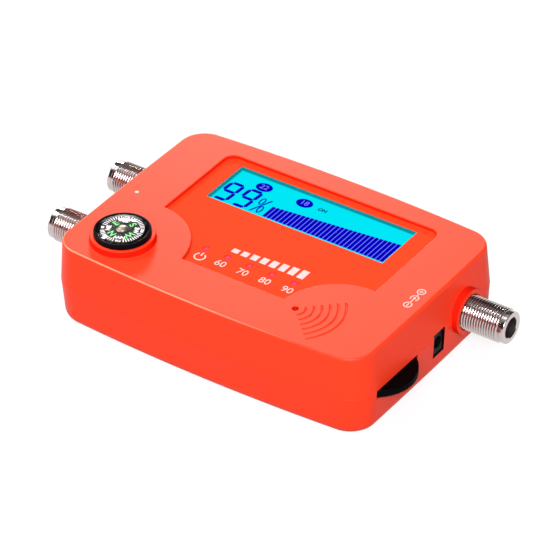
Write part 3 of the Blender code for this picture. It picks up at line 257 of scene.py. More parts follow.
# Thumb wheel
WHEEL = (0.0423, -0.0163)
WHEEL_RADIUS = 0.0107
WHEEL_BOTTOM = 0.0095
WHEEL_THICKNESS = 0.002
WHEEL_CLEARANCE = 0.00045
WHEEL_EDGE = 0.0002
WHEEL_SHAFT_RADIUS = 0.0015
WHEEL_TEETH = 90
TOOTH_DEPTH = 0.00015
TOOTH_WIDTH = 0.0004

# Case screws
CASE_SCREWS = ((-0.0416, -0.0273), (-0.0416, 0.0273), (0.0416, 0.0273), (0.031, -0.028))
SCREW_HEAD_RADIUS = 0.0021
SCREW_HEAD_HEIGHT = 0.0016
SCREW_HEAD_EDGE = 0.0004
SCREW_SHANK_RADIUS = 0.00125
SCREW_POINT = 0.001
SCREW_SEAT = 0.005
SCREW_MOUTH = 0.0003
SCREW_BOSS_RADIUS = 0.004
RECESS_LENGTH = 0.0013
RECESS_WIDTH = 0.0004
RECESS_DEPTH = 0.0009
RECESS_TAPER_SHARE = 0.55

# Colours of the case
CASE_COLOUR = (0.98, 0.054, 0.016)
# Pale colour of the top edge's painted highlight
PAINTED_HIGHLIGHT_COLOUR = (0.98, 0.24, 0.13)

# Studio: each lamp's place, target, width, depth, power and colour
FLOOR_COLOUR = 0.2
FLOOR_GLOW = 0.81
FLOOR_REACH = 3.0
FLOOR_THICKNESS = 0.02
FLOOR_GAP = 0.00002
SKY_LOW = 0.04
SKY_HIGH = 0.5
SKY_DARK_BELOW = 0.7
SKY_BRIGHT_ABOVE = 0.9
HORIZON_WHITE_BELOW = 0.12
HORIZON_DARK_ABOVE = 0.2
WHITE = (1.0, 1.0, 1.0)
ON_CARD = (*COMPASS, CARD_FACE)
LAMPS = {
    "overhead": ((-0.55, -0.05, 1.0), (0, 0, 0.02), 0.3, 1.2, 2.0, WHITE),
    "front": ((0.66, -0.92, 0.92), (0, 0, 0.01), 0.9, 0.6, 28.0, (1.0, 0.89, 0.94)),
    "back": ((-0.85, 1.18, 0.50), ON_CARD, 0.35, 0.2, 11.5, (1.0, 0.98, 0.88)),
    "left": ((-1.2, -0.5, 0.35), (-0.04, -0.03, 0.01), 0.5, 0.5, 5.0, WHITE),
    "side": ((-0.987, 0.276, 1.144), ON_CARD, 0.2, 0.18, 6.0, WHITE),
}

# Smoothness, in segments
CORNER_SEGMENTS = 14
LONG_SIDE_SEGMENTS = 20
END_SEGMENTS = 6
EDGE_SEGMENTS = 6
TIP_SEGMENTS = 6
CAP_SEGMENTS = 8
LENS_SEGMENTS = 12
FINE_SEGMENTS = 72
ROUND_SEGMENTS = 48
SMALL_SEGMENTS = 24
SHARP_ANGLE = math.radians(32)
FLAT_WEIGHT = 80
WELD = 1e-7
QUARTER_TURN = math.pi / 2


# Nodes, for finishes and for trees of geometry nodes

def add_node(tree, kind, settings=None, **inputs):
    """Adds a node, with its settings, and each input, by name or by number, as a link or a value."""
    node = tree.nodes.new(kind)
    for label, value in (settings or {}).items():
        setattr(node, label, value)
    for label, value in inputs.items():
        socket = node.inputs[int(label[1:])] if label[0] == "_" else node.inputs[label.replace("_", " ")]
        if isinstance(value, bpy.types.NodeSocket):
            tree.links.new(value, socket)
        else:
            socket.default_value = value
    return node


def reckon(tree, operation, first, second=0.0):
    return add_node(tree, "ShaderNodeMath", {"operation": operation}, _0=first, _1=second).outputs["Value"]


def ramp(tree, value, low, high, at_low=0.0, at_high=1.0, easing="SMOOTHSTEP"):
    """A value that goes from one level to another while the given one rises."""
    return add_node(tree, "ShaderNodeMapRange", {"interpolation_type": easing}, Value=value, From_Min=low,
                    From_Max=high, To_Min=at_low, To_Max=at_high).outputs["Result"]


def mix_colours(tree, share, first, second):
    mix = add_node(tree, "ShaderNodeMix", {"data_type": "RGBA"}, Factor=share, A=first, B=second)
    return mix.outputs["Result"]


def axes(tree, kind="Object"):
    """The X, Y and Z of a point on the piece."""
    place = add_node(tree, "ShaderNodeTexCoord").outputs[kind]
    return add_node(tree, "ShaderNodeSeparateXYZ", Vector=place).outputs


def any_ray(tree, *kinds):
    """1 for rays of any of these kinds."""
    path = add_node(tree, "ShaderNodeLightPath")
    total = path.outputs[kinds[0]]
    for kind in kinds[1:]:
        total = reckon(tree, "MAXIMUM", total, path.outputs[kind])
    return total


def camera_or_gloss(tree):
    return any_ray(tree, "Is Camera Ray", "Is Glossy Ray", "Is Transmission Ray")


def speckle(tree, size, detail, stretch=WHITE):
    """A noise pattern fixed to the piece, with blotches of a size."""
    place = add_node(tree, "ShaderNodeTexCoord").outputs["Object"]
    mapped = add_node(tree, "ShaderNodeMapping", Vector=place, Scale=stretch).outputs["Vector"]
    return add_node(tree, "ShaderNodeTexNoise", Vector=mapped, Scale=1.0 / size, Detail=detail).outputs["Fac"]


# Finishes

def new_finish(name, colour, roughness, metallic=0.0, **sockets):
    """A material with constant values; each further value goes to the shader's socket of that name."""
    material = bpy.data.materials.new(name)
    material.use_nodes = True
    shader = shader_of(material)
    shader.inputs["Base Color"].default_value = (*colour, 1.0)
    shader.inputs["Roughness"].default_value = roughness
    shader.inputs["Metallic"].default_value = metallic
    for label, value in sockets.items():
        shader.inputs[label.replace("_", " ")].default_value = value
    return material


def shader_of(material):
    return material.node_tree.nodes["Principled BSDF"]


def lead(material, value, label):
    """Leads a node's result into the shader's socket of that name."""
    material.node_tree.links.new(value, shader_of(material).inputs[label])


def vary_colour(material, size, share):
    """Lets the colour drift a little darker and lighter over the piece."""
    tree = material.node_tree
    colour = shader_of(material).inputs["Base Color"].default_value[:3]
    dark = (*[c * (1 - share) for c in colour], 1.0)
    light = (*[min(c * (1 + share), 1.0) for c in colour], 1.0)
    lead(material, mix_colours(tree, speckle(tree, size, 3.0), dark, light), "Base Color")


def vary_gloss(material, size, spread, stretch=WHITE):
    """Lets the roughness drift round its value."""
    tree = material.node_tree
    middle = shader_of(material).inputs["Roughness"].default_value
    drift = ramp(tree, speckle(tree, size, 3.0, stretch), 0.0, 1.0, max(middle - spread, 0.02),
                 middle + spread, "LINEAR")
    lead(material, drift, "Roughness")


def add_grain(material, size, height, stretch=WHITE):
    """A fine relief."""
    tree = material.node_tree
    bump = add_node(tree, "ShaderNodeBump", Distance=height, Height=speckle(tree, size, 2.0, stretch))
    lead(material, bump.outputs["Normal"], "Normal")


def finished(name, colour, roughness, metallic=0.0, drift=0.04, grain=0.0003, relief=0.000004, shine=0.5,
             **sockets):
    """A material with drifting colour and gloss and a fine relief."""
    material = new_finish(name, colour, roughness, metallic, Specular_IOR_Level=shine, **sockets)
    vary_colour(material, 0.012, drift)
    vary_gloss(material, 0.006, roughness * 0.05)
    add_grain(material, grain, relief)
    return material


def lit_finish(name, colour, glow, strength=1.0, shine=0.0):
    """A material that shines by itself."""
    return finished(name, colour, 0.5, drift=0.05, shine=shine, Emission_Color=(*glow, 1.0),
                    Emission_Strength=strength)


def clear_finish(name, colour, roughness, index):
    """Clear plastic that lets the light through to what lies behind it."""
    material = new_finish(name, colour, roughness, Transmission_Weight=1.0, IOR=index)
    vary_gloss(material, 0.004, roughness * 0.4)
    add_grain(material, 0.002, 0.0000015)
    tree = material.node_tree
    passing = any_ray(tree, "Is Shadow Ray", "Is Diffuse Ray")
    through = add_node(tree, "ShaderNodeBsdfTransparent").outputs["BSDF"]
    mix = add_node(tree, "ShaderNodeMixShader", Fac=passing, _1=shader_of(material).outputs["BSDF"],
                   _2=through)
    tree.links.new(mix.outputs["Shader"], tree.nodes["Material Output"].inputs["Surface"])
    return material


def display_finish():
    """The lit display: bright in the middle, with a painted shadow that dims its glow along the rim."""
    material = new_finish("display glass", (0.0, 0.02, 0.03), 0.4, Emission_Strength=1.0,
                          Specular_IOR_Level=0.0)
    tree = material.node_tree
    place = axes(tree)
    rooms = []
    for axis, centre, reach in (("X", DISPLAY[0], WINDOW_LENGTH / 2), ("Y", DISPLAY[1], WINDOW_DEPTH / 2)):
        offset = reckon(tree, "ABSOLUTE", reckon(tree, "SUBTRACT", place[axis], centre))
        rooms.append(reckon(tree, "SUBTRACT", reach, offset))
    # painted shadow of the opening's edge along the rim
    rim = ramp(tree, reckon(tree, "MINIMUM", *rooms), SHADOW_RIM_START, SHADOW_RIM_END)
    lead(material, mix_colours(tree, rim, (0.0, 0.17, 0.2, 1.0), (0.0, 0.77, 0.88, 1.0)), "Emission Color")
    return material


def painted_highlight_finish():
    """The case's top edge with a painted highlight: a pale colour that fades towards the right, and a lower
    roughness.
    """
    material = finished("case edge with painted highlight", PAINTED_HIGHLIGHT_COLOUR, 0.25, drift=0.05, relief=0.000003)
    tree = material.node_tree
    highlight_colour = shader_of(material).inputs["Base Color"].links[0].from_socket
    fade = ramp(tree, axes(tree)["X"], CREASE_FADE_START, CREASE_FADE_END, easing="LINEAR")
    lead(material, mix_colours(tree, fade, highlight_colour, (*CASE_COLOUR, 1.0)), "Base Color")
    return material


def make_finishes():
    nickel = new_finish("nickel plate", (0.54, 0.49, 0.48), 0.14, 1.0)
    vary_colour(nickel, 0.004, 0.05)
    vary_gloss(nickel, 0.0008, 0.05, (6.0, 1.0, 1.0))
    add_grain(nickel, 0.0004, 0.000002, (8.0, 1.0, 1.0))
    return {
        "nickel": nickel,
        "case": finished("case plastic", CASE_COLOUR, 0.4, drift=0.02, grain=0.00035, relief=0.000006,
                         shine=0.12),
        # painted highlight on the top edge
        "crease": painted_highlight_finish(),
        "label": finished("printed label field", (0.98, 0.053, 0.012), 0.5, drift=0.02, relief=0.000003,
                          shine=0.01),
        # darker red painted as shade on upright faces and on the socket collars' sides
        "step": finished("painted shade on upright faces", (0.70, 0.012, 0.003), 0.5, drift=0.03, relief=0.000003, shine=0.05),
        "ink": finished("white ink", (0.88, 0.54, 0.51), 0.5, drift=0.03, grain=0.0002, shine=0.1),
        # The card's white and green inks glow a little: painted light standing for the light that reaches the
        # card through the lens
        "card_ink_with_glow": finished("white card ink with painted glow", (0.85, 0.85, 0.86), 0.5, drift=0.03, grain=0.0002,
                               Emission_Color=(0.8, 0.8, 0.8, 1.0), Emission_Strength=0.25),
        "green": lit_finish("green ink with painted glow", (0.10, 0.62, 0.16), (0.05, 0.4, 0.1), 0.3, 0.5),
        # a dim teal frame that glows: painted shade in the gap round the display
        "rim": lit_finish("glowing display frame painted as shade", (0.0, 0.10, 0.12), (0.0, 0.16, 0.17), shine=0.5),
        "glass": display_finish(),
        "segment": lit_finish("display segment", (0.0, 0.0, 0.05), (0.0, 0.0, 0.45)),
        "segment_light": lit_finish("display cut-out", (0.02, 0.02, 0.1), (0.17, 0.2, 0.92)),
        "teal": lit_finish("display small mark", (0.0, 0.01, 0.02), (0.0, 0.05, 0.12)),
        "window": clear_finish("window plastic", (0.97, 1.0, 1.0), 0.2, 1.01),
        "lens": clear_finish("lens plastic", WHITE, 0.06, 1.22),
        "light": finished("light plastic", (0.72, 0.035, 0.09), 0.6, drift=0.1, shine=0.1),
        "black": finished("black plastic", (0.003, 0.003, 0.004), 0.4, drift=0.15, shine=0.05),
        "wheel": finished("wheel plastic", (0.001, 0.001, 0.001), 0.5, drift=0.15, shine=0.03),
        "cup": finished("compass cup plastic", (0.004, 0.003, 0.005), 0.35, drift=0.15, shine=0.03),
        "card": finished("card plastic", (0.004, 0.004, 0.005), 0.6, drift=0.15, shine=0.1),
        "steel": finished("pivot steel", (0.32, 0.29, 0.24), 0.35, 1.0, drift=0.08),
        "insulator": finished("insulator plastic", (0.018, 0.017, 0.016), 0.5, drift=0.15),
        "brass": finished("contact brass", (0.75, 0.55, 0.25), 0.28, 1.0, drift=0.06),
        "blue": finished("potentiometer plastic", (0.02, 0.06, 0.2), 0.4, drift=0.1),
        "board": finished("board lacquer", (0.01, 0.11, 0.04), 0.35, drift=0.2, grain=0.001, relief=0.00001),
        "tin": finished("tinned sheet", (0.68, 0.68, 0.69), 0.3, 1.0, drift=0.06),
        "chip": finished("chip resin", (0.015, 0.015, 0.015), 0.6, drift=0.15),
        "guide": finished("light guide plastic", (0.78, 0.82, 0.83), 0.35, drift=0.03),
        "screw": finished("screw steel", (0.38, 0.38, 0.40), 0.32, 1.0, drift=0.08),
    }


# Outlines

def arc(centre, radius, start, end, segments):
    turns = [start + (end - start) * number / segments for number in range(segments + 1)]
    return [(centre[0] + radius * math.cos(turn), centre[1] + radius * math.sin(turn)) for turn in turns]


def quarter(centre, radius, start):
    """A quarter turn, which rounds an edge."""
    return arc(centre, radius, start, start + QUARTER_TURN, EDGE_SEGMENTS)


def band(centre, radius, width, start, end, segments):
    """The outline of a flat band along an arc."""
    outer = arc(centre, radius + width / 2, start, end, segments)
    return outer + arc(centre, radius - width / 2, end, start, segments)


def ring_bands(centre, radius, width):
    """A full flat ring as two half bands."""
    return [band(centre, radius, width, start, start + math.pi, SMALL_SEGMENTS) for start in (0.0, math.pi)]


def bar(x0, y0, x1, y1):
    return [(x0, y0), (x1, y0), (x1, y1), (x0, y1)]


def oval(centre, half_length, half_depth, segments=ROUND_SEGMENTS):
    turns = [math.tau * number / segments for number in range(segments)]
    return [(centre[0] + half_length * math.cos(t), centre[1] + half_depth * math.sin(t)) for t in turns]


def between(outer, inner):
    """The outlines that fill the frame between two outlines."""
    return [[outer[n - 1], outer[n], inner[n], inner[n - 1]] for n in range(len(outer))]


def window_outline(inset):
    half_length = WINDOW_LENGTH / 2 - inset
    half_depth = WINDOW_DEPTH / 2 - inset
    return bar(DISPLAY[0] - half_length, DISPLAY[1] - half_depth, DISPLAY[0] + half_length,
               DISPLAY[1] + half_depth)


def shallow_cap(radius, edge, crown):
    """Profile points of a cap whose rim slopes gently."""
    rise = crown - edge
    ball = (radius ** 2 + rise ** 2) / (2 * rise)
    turns = [math.asin(radius / ball) * (1 - number / LENS_SEGMENTS) for number in range(LENS_SEGMENTS)]
    return [(ball * math.sin(turn), crown - ball * (1 - math.cos(turn))) for turn in turns] + [(0, crown)]


def dome(radius, edge, crown, steps):
    turns = [QUARTER_TURN * number / steps for number in range(steps)]
    return [(radius * math.cos(t), edge + (crown - edge) * math.sin(t)) for t in turns] + [(0, crown)]


# Mesh making. A piece is of case plastic where no finish is given.

def new_object(name, data):
    thing = bpy.data.objects.new(name, data)
    bpy.context.scene.collection.objects.link(thing)
    return thing


def add_piece(name, builder, material):
    """Turns a finished bmesh into an object with one material, its faces outward."""
    bmesh.ops.remove_doubles(builder, verts=builder.verts, dist=WELD)
    bmesh.ops.recalc_face_normals(builder, faces=builder.faces)
    mesh = bpy.data.meshes.new(name)
    builder.to_mesh(mesh)
    builder.free()
    mesh.materials.append(material or FINISH["case"])
    return new_object(name, mesh)


def smooth(piece):
    """Shades round faces smooth, keeps real edges, and keeps flat faces flat beside small roundings."""
    piece.data.shade_smooth()
    piece.data.set_sharp_from_angle(angle=SHARP_ANGLE)
    weighting = piece.modifiers.new("flat faces", "WEIGHTED_NORMAL")
    weighting.keep_sharp = True
    weighting.weight = FLAT_WEIGHT
    return keep_result(piece)


def real_mesh(piece):
    """The plain mesh that a piece with its modifiers gives."""
    graph = bpy.context.evaluated_depsgraph_get()
    return bpy.data.meshes.new_from_object(piece.evaluated_get(graph), depsgraph=graph)


def keep_result(piece):
    mesh = real_mesh(piece)
    piece.modifiers.clear()
    piece.data = mesh
    return piece


def fit(piece, body, *nodes):
    """Lets a piece ride on a body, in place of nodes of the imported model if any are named."""
    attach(piece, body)
    if nodes:
        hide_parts(*nodes)


def lofts(name, stacks, material=None):
    """Closed solids, each through a stack of rings with the same number of points, as one piece."""
    builder = bmesh.new()
    for rings in stacks:
        rows = [[builder.verts.new(point) for point in ring] for ring in rings]
        for lower, upper in zip(rows, rows[1:]):
            for index in range(len(lower)):
                after = (index + 1) % len(lower)
                builder.faces.new((lower[index], lower[after], upper[after], upper[index]))
        builder.faces.new(rows[0])
        builder.faces.new(rows[-1])
    return add_piece(name, builder, material)


def plates(name, outlines, bottom, top, material=None):
    """Flat plates over several outlines, as one piece."""
    stacks = [[[(x, y, height) for x, y in outline] for height in (bottom, top)] for outline in outlines]
    return lofts(name, stacks, material)


def box(name, low, high, material=None):
    return plates(name, [bar(low[0], low[1], high[0], high[1])], low[2], high[2], material)


def revolve(name, profile, place, material=None, side=0, segments=ROUND_SEGMENTS):
    """A turned solid over a closed profile of radius and height. Side 0 turns about Z, 1 and -1 about X."""
    builder = bmesh.new()
    rows = []
    for radius, height in profile:
        points = [(x, y, height) for x, y in oval((0, 0), radius, radius, segments)]
        rows.append([builder.verts.new(point) for point in (points if radius else points[:1])])
    for index, lower in enumerate(rows):
        upper = rows[(index + 1) % len(rows)]
        if len(lower) == 1 and len(upper) == 1:
            continue
        for number in range(segments):
            after = (number + 1) % segments
            corners = [lower[number % len(lower)], lower[after % len(lower)],
                       upper[after % len(upper)], upper[number % len(upper)]]
            builder.faces.new(list(dict.fromkeys(corners)))
    turn = Matrix.Rotation(side * QUARTER_TURN, 4, "Y")
    bmesh.ops.transform(builder, matrix=Matrix.Translation(place) @ turn, verts=builder.verts)
    return add_piece(name, builder, material)


def rod(name, radius, bottom, top, place, side=0, segments=ROUND_SEGMENTS):
    profile = [(0, bottom), (radius, bottom), (radius, top), (0, top)]
    return revolve(name, profile, place, side=side, segments=segments)


def combine(piece, tools, operation):
    """Joins tool shapes to a piece or cuts them away in one step."""
    shelf = bpy.data.collections.new("tools")
    bpy.context.scene.collection.children.link(shelf)
    for tool in tools:
        shelf.objects.link(tool)
    change = piece.modifiers.new("shape", "BOOLEAN")
    change.operation = operation
    change.solver = "EXACT"
    change.operand_type = "COLLECTION"
    change.collection = shelf
    keep_result(piece)
    for tool in tools:
        bpy.data.objects.remove(tool, do_unlink=True)
    bpy.data.collections.remove(shelf)


def merge(name, pieces):
    """Puts several meshes into one piece without changing them."""
    builder = bmesh.new()
    materials = []
    for piece in pieces:
        start = len(builder.faces)
        builder.from_mesh(piece.data)
        builder.faces.ensure_lookup_table()
        for face in builder.faces[start:]:
            material = piece.data.materials[face.material_index]
            if material not in materials:
                materials.append(material)
            face.material_index = materials.index(material)
        bpy.data.objects.remove(piece, do_unlink=True)
    mesh = bpy.data.meshes.new(name)
    builder.to_mesh(mesh)
    builder.free()
    for material in materials:
        mesh.materials.append(material)
    return new_object(name, mesh)


def lettering(name, words, size, place, finish, turn=0.0, weight=0.0, body="case"):
    """Flat words, centred on a place and turned about Z. A weight makes them bolder."""
    text = bpy.data.curves.new(name, "FONT")
    text.body = words
    text.size = size
    text.align_x = "CENTER"
    text.align_y = "CENTER"
    text.extrude = INK / 2
    text.offset = weight
    source = new_object(name + " source", text)
    mesh = real_mesh(source)
    bpy.data.objects.remove(source, do_unlink=True)
    mesh.transform(Matrix.Translation(place) @ Matrix.Rotation(turn, 4, "Z"))
    mesh.materials.clear()
    mesh.materials.append(FINISH[finish])
    fit(new_object(name, mesh), body)


def print_on(name, outlines, level, finish, thickness=INK):
    """A flat print on the case at a height."""
    fit(plates(name, outlines, level, level + thickness, FINISH[finish]), "case")


# Trees of geometry nodes for what repeats

def new_tree(name, sizes):
    """A tree with named inputs, a finish input and one output."""
    tree = bpy.data.node_groups.new(name, "GeometryNodeTree")
    tree.interface.new_socket("Geometry", in_out="OUTPUT", socket_type="NodeSocketGeometry")
    for label, kind in sizes + (("Finish", "Material"),):
        tree.interface.new_socket(label, in_out="INPUT", socket_type="NodeSocket" + kind)
    return tree, tree.nodes.new("NodeGroupInput").outputs


def end_tree(tree, shape, finish):
    """Makes the instances real, gives them their finish and leads them out."""
    real = add_node(tree, "GeometryNodeRealizeInstances", Geometry=shape)
    coated = add_node(tree, "GeometryNodeSetMaterial", Geometry=real.outputs["Geometry"], Material=finish)
    tree.links.new(coated.outputs["Geometry"], tree.nodes.new("NodeGroupOutput").inputs["Geometry"])
    return tree


def vector(tree, **parts):
    return add_node(tree, "ShaderNodeCombineXYZ", **parts).outputs["Vector"]


def bars_on(tree, points, **settings):
    """A bar at each point, of unit size until it is scaled."""
    unit = add_node(tree, "GeometryNodeMeshCube", Size=WHITE)
    bars = add_node(tree, "GeometryNodeInstanceOnPoints", Points=points, Instance=unit.outputs["Mesh"],
                    **settings)
    return bars.outputs["Instances"]


def row_tree():
    """A row of upright bars along X whose heights grow evenly."""
    sizes = (("Count", "Int"), ("Pitch", "Float"), ("Width", "Float"), ("First Height", "Float"),
             ("Last Height", "Float"), ("Thickness", "Float"), ("Start", "Vector"))
    tree, given = new_tree("row of bars", sizes)
    line = add_node(tree, "GeometryNodeMeshLine", Count=given["Count"], Start_Location=given["Start"],
                    Offset=vector(tree, X=given["Pitch"]))
    index = add_node(tree, "GeometryNodeInputIndex").outputs["Index"]
    last = reckon(tree, "SUBTRACT", given["Count"], 1.0)
    height = ramp(tree, index, 0.0, last, given["First Height"], given["Last Height"], "LINEAR")
    lift = vector(tree, Y=reckon(tree, "DIVIDE", height, 2.0))
    points = add_node(tree, "GeometryNodeSetPosition", Geometry=line.outputs["Mesh"], Offset=lift)
    bars = bars_on(tree, points.outputs["Geometry"],
                   Scale=vector(tree, X=given["Width"], Y=height, Z=given["Thickness"]))
    return end_tree(tree, bars, given["Finish"])


def wreath_tree():
    """Bars that stand round a circle about Z, leaving some places free in each group."""
    sizes = (("Count", "Int"), ("Radius", "Float"), ("Length", "Float"), ("Width", "Float"),
             ("Thickness", "Float"), ("Group", "Float"), ("Skip", "Float"), ("Turn", "Float"),
             ("Centre", "Vector"))
    tree, given = new_tree("wreath of bars", sizes)
    circle = add_node(tree, "GeometryNodeMeshCircle", Vertices=given["Count"], Radius=given["Radius"])
    index = add_node(tree, "GeometryNodeInputIndex").outputs["Index"]
    facing = reckon(tree, "DIVIDE", reckon(tree, "MULTIPLY", index, math.tau), given["Count"])
    half_skip = reckon(tree, "FLOOR", reckon(tree, "DIVIDE", given["Skip"], 2.0))
    place = reckon(tree, "MODULO", reckon(tree, "ADD", index, half_skip), given["Group"])
    kept = add_node(tree, "FunctionNodeCompare", {"data_type": "FLOAT", "operation": "GREATER_EQUAL"},
                    _0=place, _1=given["Skip"])
    bars = bars_on(tree, circle.outputs["Mesh"], Selection=kept.outputs["Result"],
                   Scale=vector(tree, X=given["Length"], Y=given["Width"], Z=given["Thickness"]),
                   Rotation=vector(tree, Z=facing))
    placed = add_node(tree, "GeometryNodeTransform", Geometry=bars, Translation=given["Centre"],
                      Rotation=vector(tree, Z=given["Turn"]))
    return end_tree(tree, placed.outputs["Geometry"], given["Finish"])


def thread_tree():
    """A ridge that winds round an axis along X."""
    sizes = (("Turns", "Float"), ("Radius", "Float"), ("Length", "Float"), ("Depth", "Float"),
             ("Rounding", "Float"), ("Direction", "Float"), ("Start", "Vector"))
    tree, given = new_tree("thread ridge", sizes)
    spiral = add_node(tree, "GeometryNodeCurveSpiral", Resolution=ROUND_SEGMENTS, Rotations=given["Turns"],
                      Start_Radius=given["Radius"], End_Radius=given["Radius"], Height=given["Length"])
    upright = add_node(tree, "GeometryNodeSetCurveNormal", {"mode": "Z_UP"}, Curve=spiral.outputs["Curve"])
    diamond = add_node(tree, "GeometryNodeCurvePrimitiveCircle", Resolution=4, Radius=given["Depth"])
    ridge = add_node(tree, "GeometryNodeFilletCurve", {"mode": "POLY"}, Curve=diamond.outputs["Curve"],
                     Count=1, Radius=given["Rounding"])
    swept = add_node(tree, "GeometryNodeCurveToMesh", Curve=upright.outputs["Curve"],
                     Profile_Curve=ridge.outputs["Curve"], Fill_Caps=True)
    turn = reckon(tree, "MULTIPLY", given["Direction"], QUARTER_TURN)
    placed = add_node(tree, "GeometryNodeTransform", Geometry=swept.outputs["Mesh"],
                      Translation=given["Start"], Rotation=vector(tree, Y=turn))
    return end_tree(tree, placed.outputs["Geometry"], given["Finish"])


def grow(name, tree, finish, **values):
    """Runs a tree with these sizes and keeps its result as a plain mesh."""
    piece = new_object(name, bpy.data.meshes.new(name))
    change = piece.modifiers.new("grow", "NODES")
    change.node_group = TREES[tree]
    given = {label.replace("_", " "): value for label, value in values.items()}
    given["Finish"] = FINISH[finish]
    for socket in TREES[tree].interface.items_tree:
        if socket.in_out == "INPUT":
            change[socket.identifier] = given[socket.name]
    return keep_result(piece)


# Case

def flare(height):
    """How far the outer wall stands out from the top outline at a height."""
    if height >= SEAM_HEIGHT:
        rise = (height - SEAM_HEIGHT) / (CASE_HEIGHT - TOP_EDGE_RADIUS - SEAM_HEIGHT)
        return SEAM_FLARE * (1 - min(rise, 1))
    rise = (height - BOTTOM_EDGE_RADIUS) / (SEAM_HEIGHT - BOTTOM_EDGE_RADIUS)
    return BOTTOM_FLARE + (SEAM_FLARE - BOTTOM_FLARE) * max(rise, 0)


def case_ring(offset, height):
    """The case's bowed outline, moved out by an offset, at a height."""
    half_length = CASE_LENGTH / 2
    half_depth = CASE_DEPTH / 2
    corners = []
    for index, (x_side, y_side) in enumerate(((1, 1), (-1, 1), (-1, -1), (1, -1))):
        centre = (x_side * (half_length - CASE_CORNER_RADIUS), y_side * (half_depth - CASE_CORNER_RADIUS))
        start = QUARTER_TURN * index
        corners.append(arc(centre, CASE_CORNER_RADIUS + offset, start, start + QUARTER_TURN, CORNER_SEGMENTS))
    outline = []
    for index, corner in enumerate(corners):
        outline += corner
        last = Vector(corner[-1])
        goal = Vector(corners[(index + 1) % len(corners)][0])
        steps = END_SEGMENTS if index % 2 else LONG_SIDE_SEGMENTS
        outline += [tuple(last.lerp(goal, number / steps)) for number in range(1, steps)]
    ring = []
    for x, y in outline:
        along = x / half_length
        across = y / half_depth
        ring.append((x - END_BOW * along * across ** 2, y - LONG_SIDE_BOW * across * along ** 2, height))
    return ring


def wall_face(height, y=0.0):
    """How far out the end walls stand at a height and place."""
    return CASE_LENGTH / 2 + flare(height) - END_BOW * (y / (CASE_DEPTH / 2)) ** 2


def half_collars(level, upper):
    """The raised collars about the sockets, above or below the seam."""
    halves = []
    for name, side, y in SOCKETS:
        face = wall_face(SOCKET_AXIS_HEIGHT, y)
        sections = [(COLLAR_RADIUS, face - WALL / 2)]
        sections += quarter((COLLAR_RADIUS - COLLAR_ROUND, face + COLLAR_HEIGHT - COLLAR_ROUND), COLLAR_ROUND,
                            0.0)
        rings = []
        for radius, distance in sections:
            dip = math.asin((level - SOCKET_AXIS_HEIGHT) / radius)
            start, end = (dip, math.pi - dip) if upper else (math.pi - dip, math.tau + dip)
            points = arc((y, SOCKET_AXIS_HEIGHT), radius, start, end, ROUND_SEGMENTS)
            rings.append([(side * distance, across, height) for across, height in points])
        halves.append(lofts(name + " collar", [rings]))
    return halves


def socket_holes():
    holes = []
    for name, side, y in SOCKETS:
        place = (side * wall_face(SOCKET_AXIS_HEIGHT, y), y, SOCKET_AXIS_HEIGHT)
        holes.append(rod(name + " hole", THREAD_RADIUS + GAP, -WALL - OVERRUN, COLLAR_HEIGHT + OVERRUN, place,
                         side))
    return holes


def power_socket_hole(top):
    face = wall_face(DC_AXIS_HEIGHT, DC_Y)
    half_width = DC_OPENING_WIDTH / 2
    low = (face - WALL - OVERRUN, DC_Y - half_width, DC_AXIS_HEIGHT - DC_OPENING_HEIGHT / 2)
    return box("power hole", low, (face + OVERRUN, DC_Y + half_width, top))


def label_outline(spread):
    """The sunk label field, made wider by a spread, clear of the compass and the buzzer."""
    back = LABEL_BACK + spread
    front = LABEL_FRONT + spread
    corner = LABEL_CORNER_RADIUS + spread
    edges = (-LABEL_LEFT - spread, LABEL_RIGHT + spread)
    points = arc((edges[1] - corner, back - corner), corner, 0.0, QUARTER_TURN, CORNER_SEGMENTS)
    points += arc((edges[0] + corner, back - corner), corner, QUARTER_TURN, math.pi, CORNER_SEGMENTS)
    clearings = ((COMPASS, COMPASS_CLEARING_RADIUS, 1), (BUZZER_CLEARING, BUZZER_CLEARING_RADIUS, -1))
    for edge, (centre, full_radius, sense) in zip(edges, clearings):
        radius = full_radius - spread
        along = edge - centre[0]
        across = -front - centre[1]
        at_side = math.atan2(math.sqrt(radius ** 2 - along ** 2), along)
        at_front = math.atan2(across, sense * math.sqrt(radius ** 2 - across ** 2))
        start, end = (at_side, at_front)[::sense]
        points += arc(centre, radius, start, end, ROUND_SEGMENTS)
    return points


def label_tool():
    """Cuts the label field with a softly rounded upper edge."""
    edge = quarter((LABEL_EDGE_ROUND, CASE_HEIGHT - LABEL_EDGE_ROUND), LABEL_EDGE_ROUND, QUARTER_TURN)
    sections = [(0.0, LABEL_HEIGHT)] + edge[::-1] + [(LABEL_EDGE_ROUND, CASE_HEIGHT + OVERRUN)]
    return lofts("label field", [[[(x, y, height) for x, y in label_outline(spread)]
                                  for spread, height in sections]])


def groove_tool(radius):
    """One arc groove with a round bottom and round ends."""
    rings = []
    for depth, share in GROOVE_PROFILE:
        half_width = GROOVE_WIDTH * share / 2
        outline = []
        for sense in (1, -1):
            end = sense * GROOVE_HALF_ANGLE
            outline += arc(BUZZER, radius + sense * half_width, -end, end, SMALL_SEGMENTS)
            tip = arc(BUZZER, radius, end, end, 1)[0]
            start = end if sense == 1 else end - math.pi
            outline += arc(tip, half_width, start, start + math.pi, TIP_SEGMENTS)[1:-1]
        rings.append([(x, y, CASE_HEIGHT - GROOVE_DEPTH * depth) for x, y in outline])
    return lofts("groove", [rings])


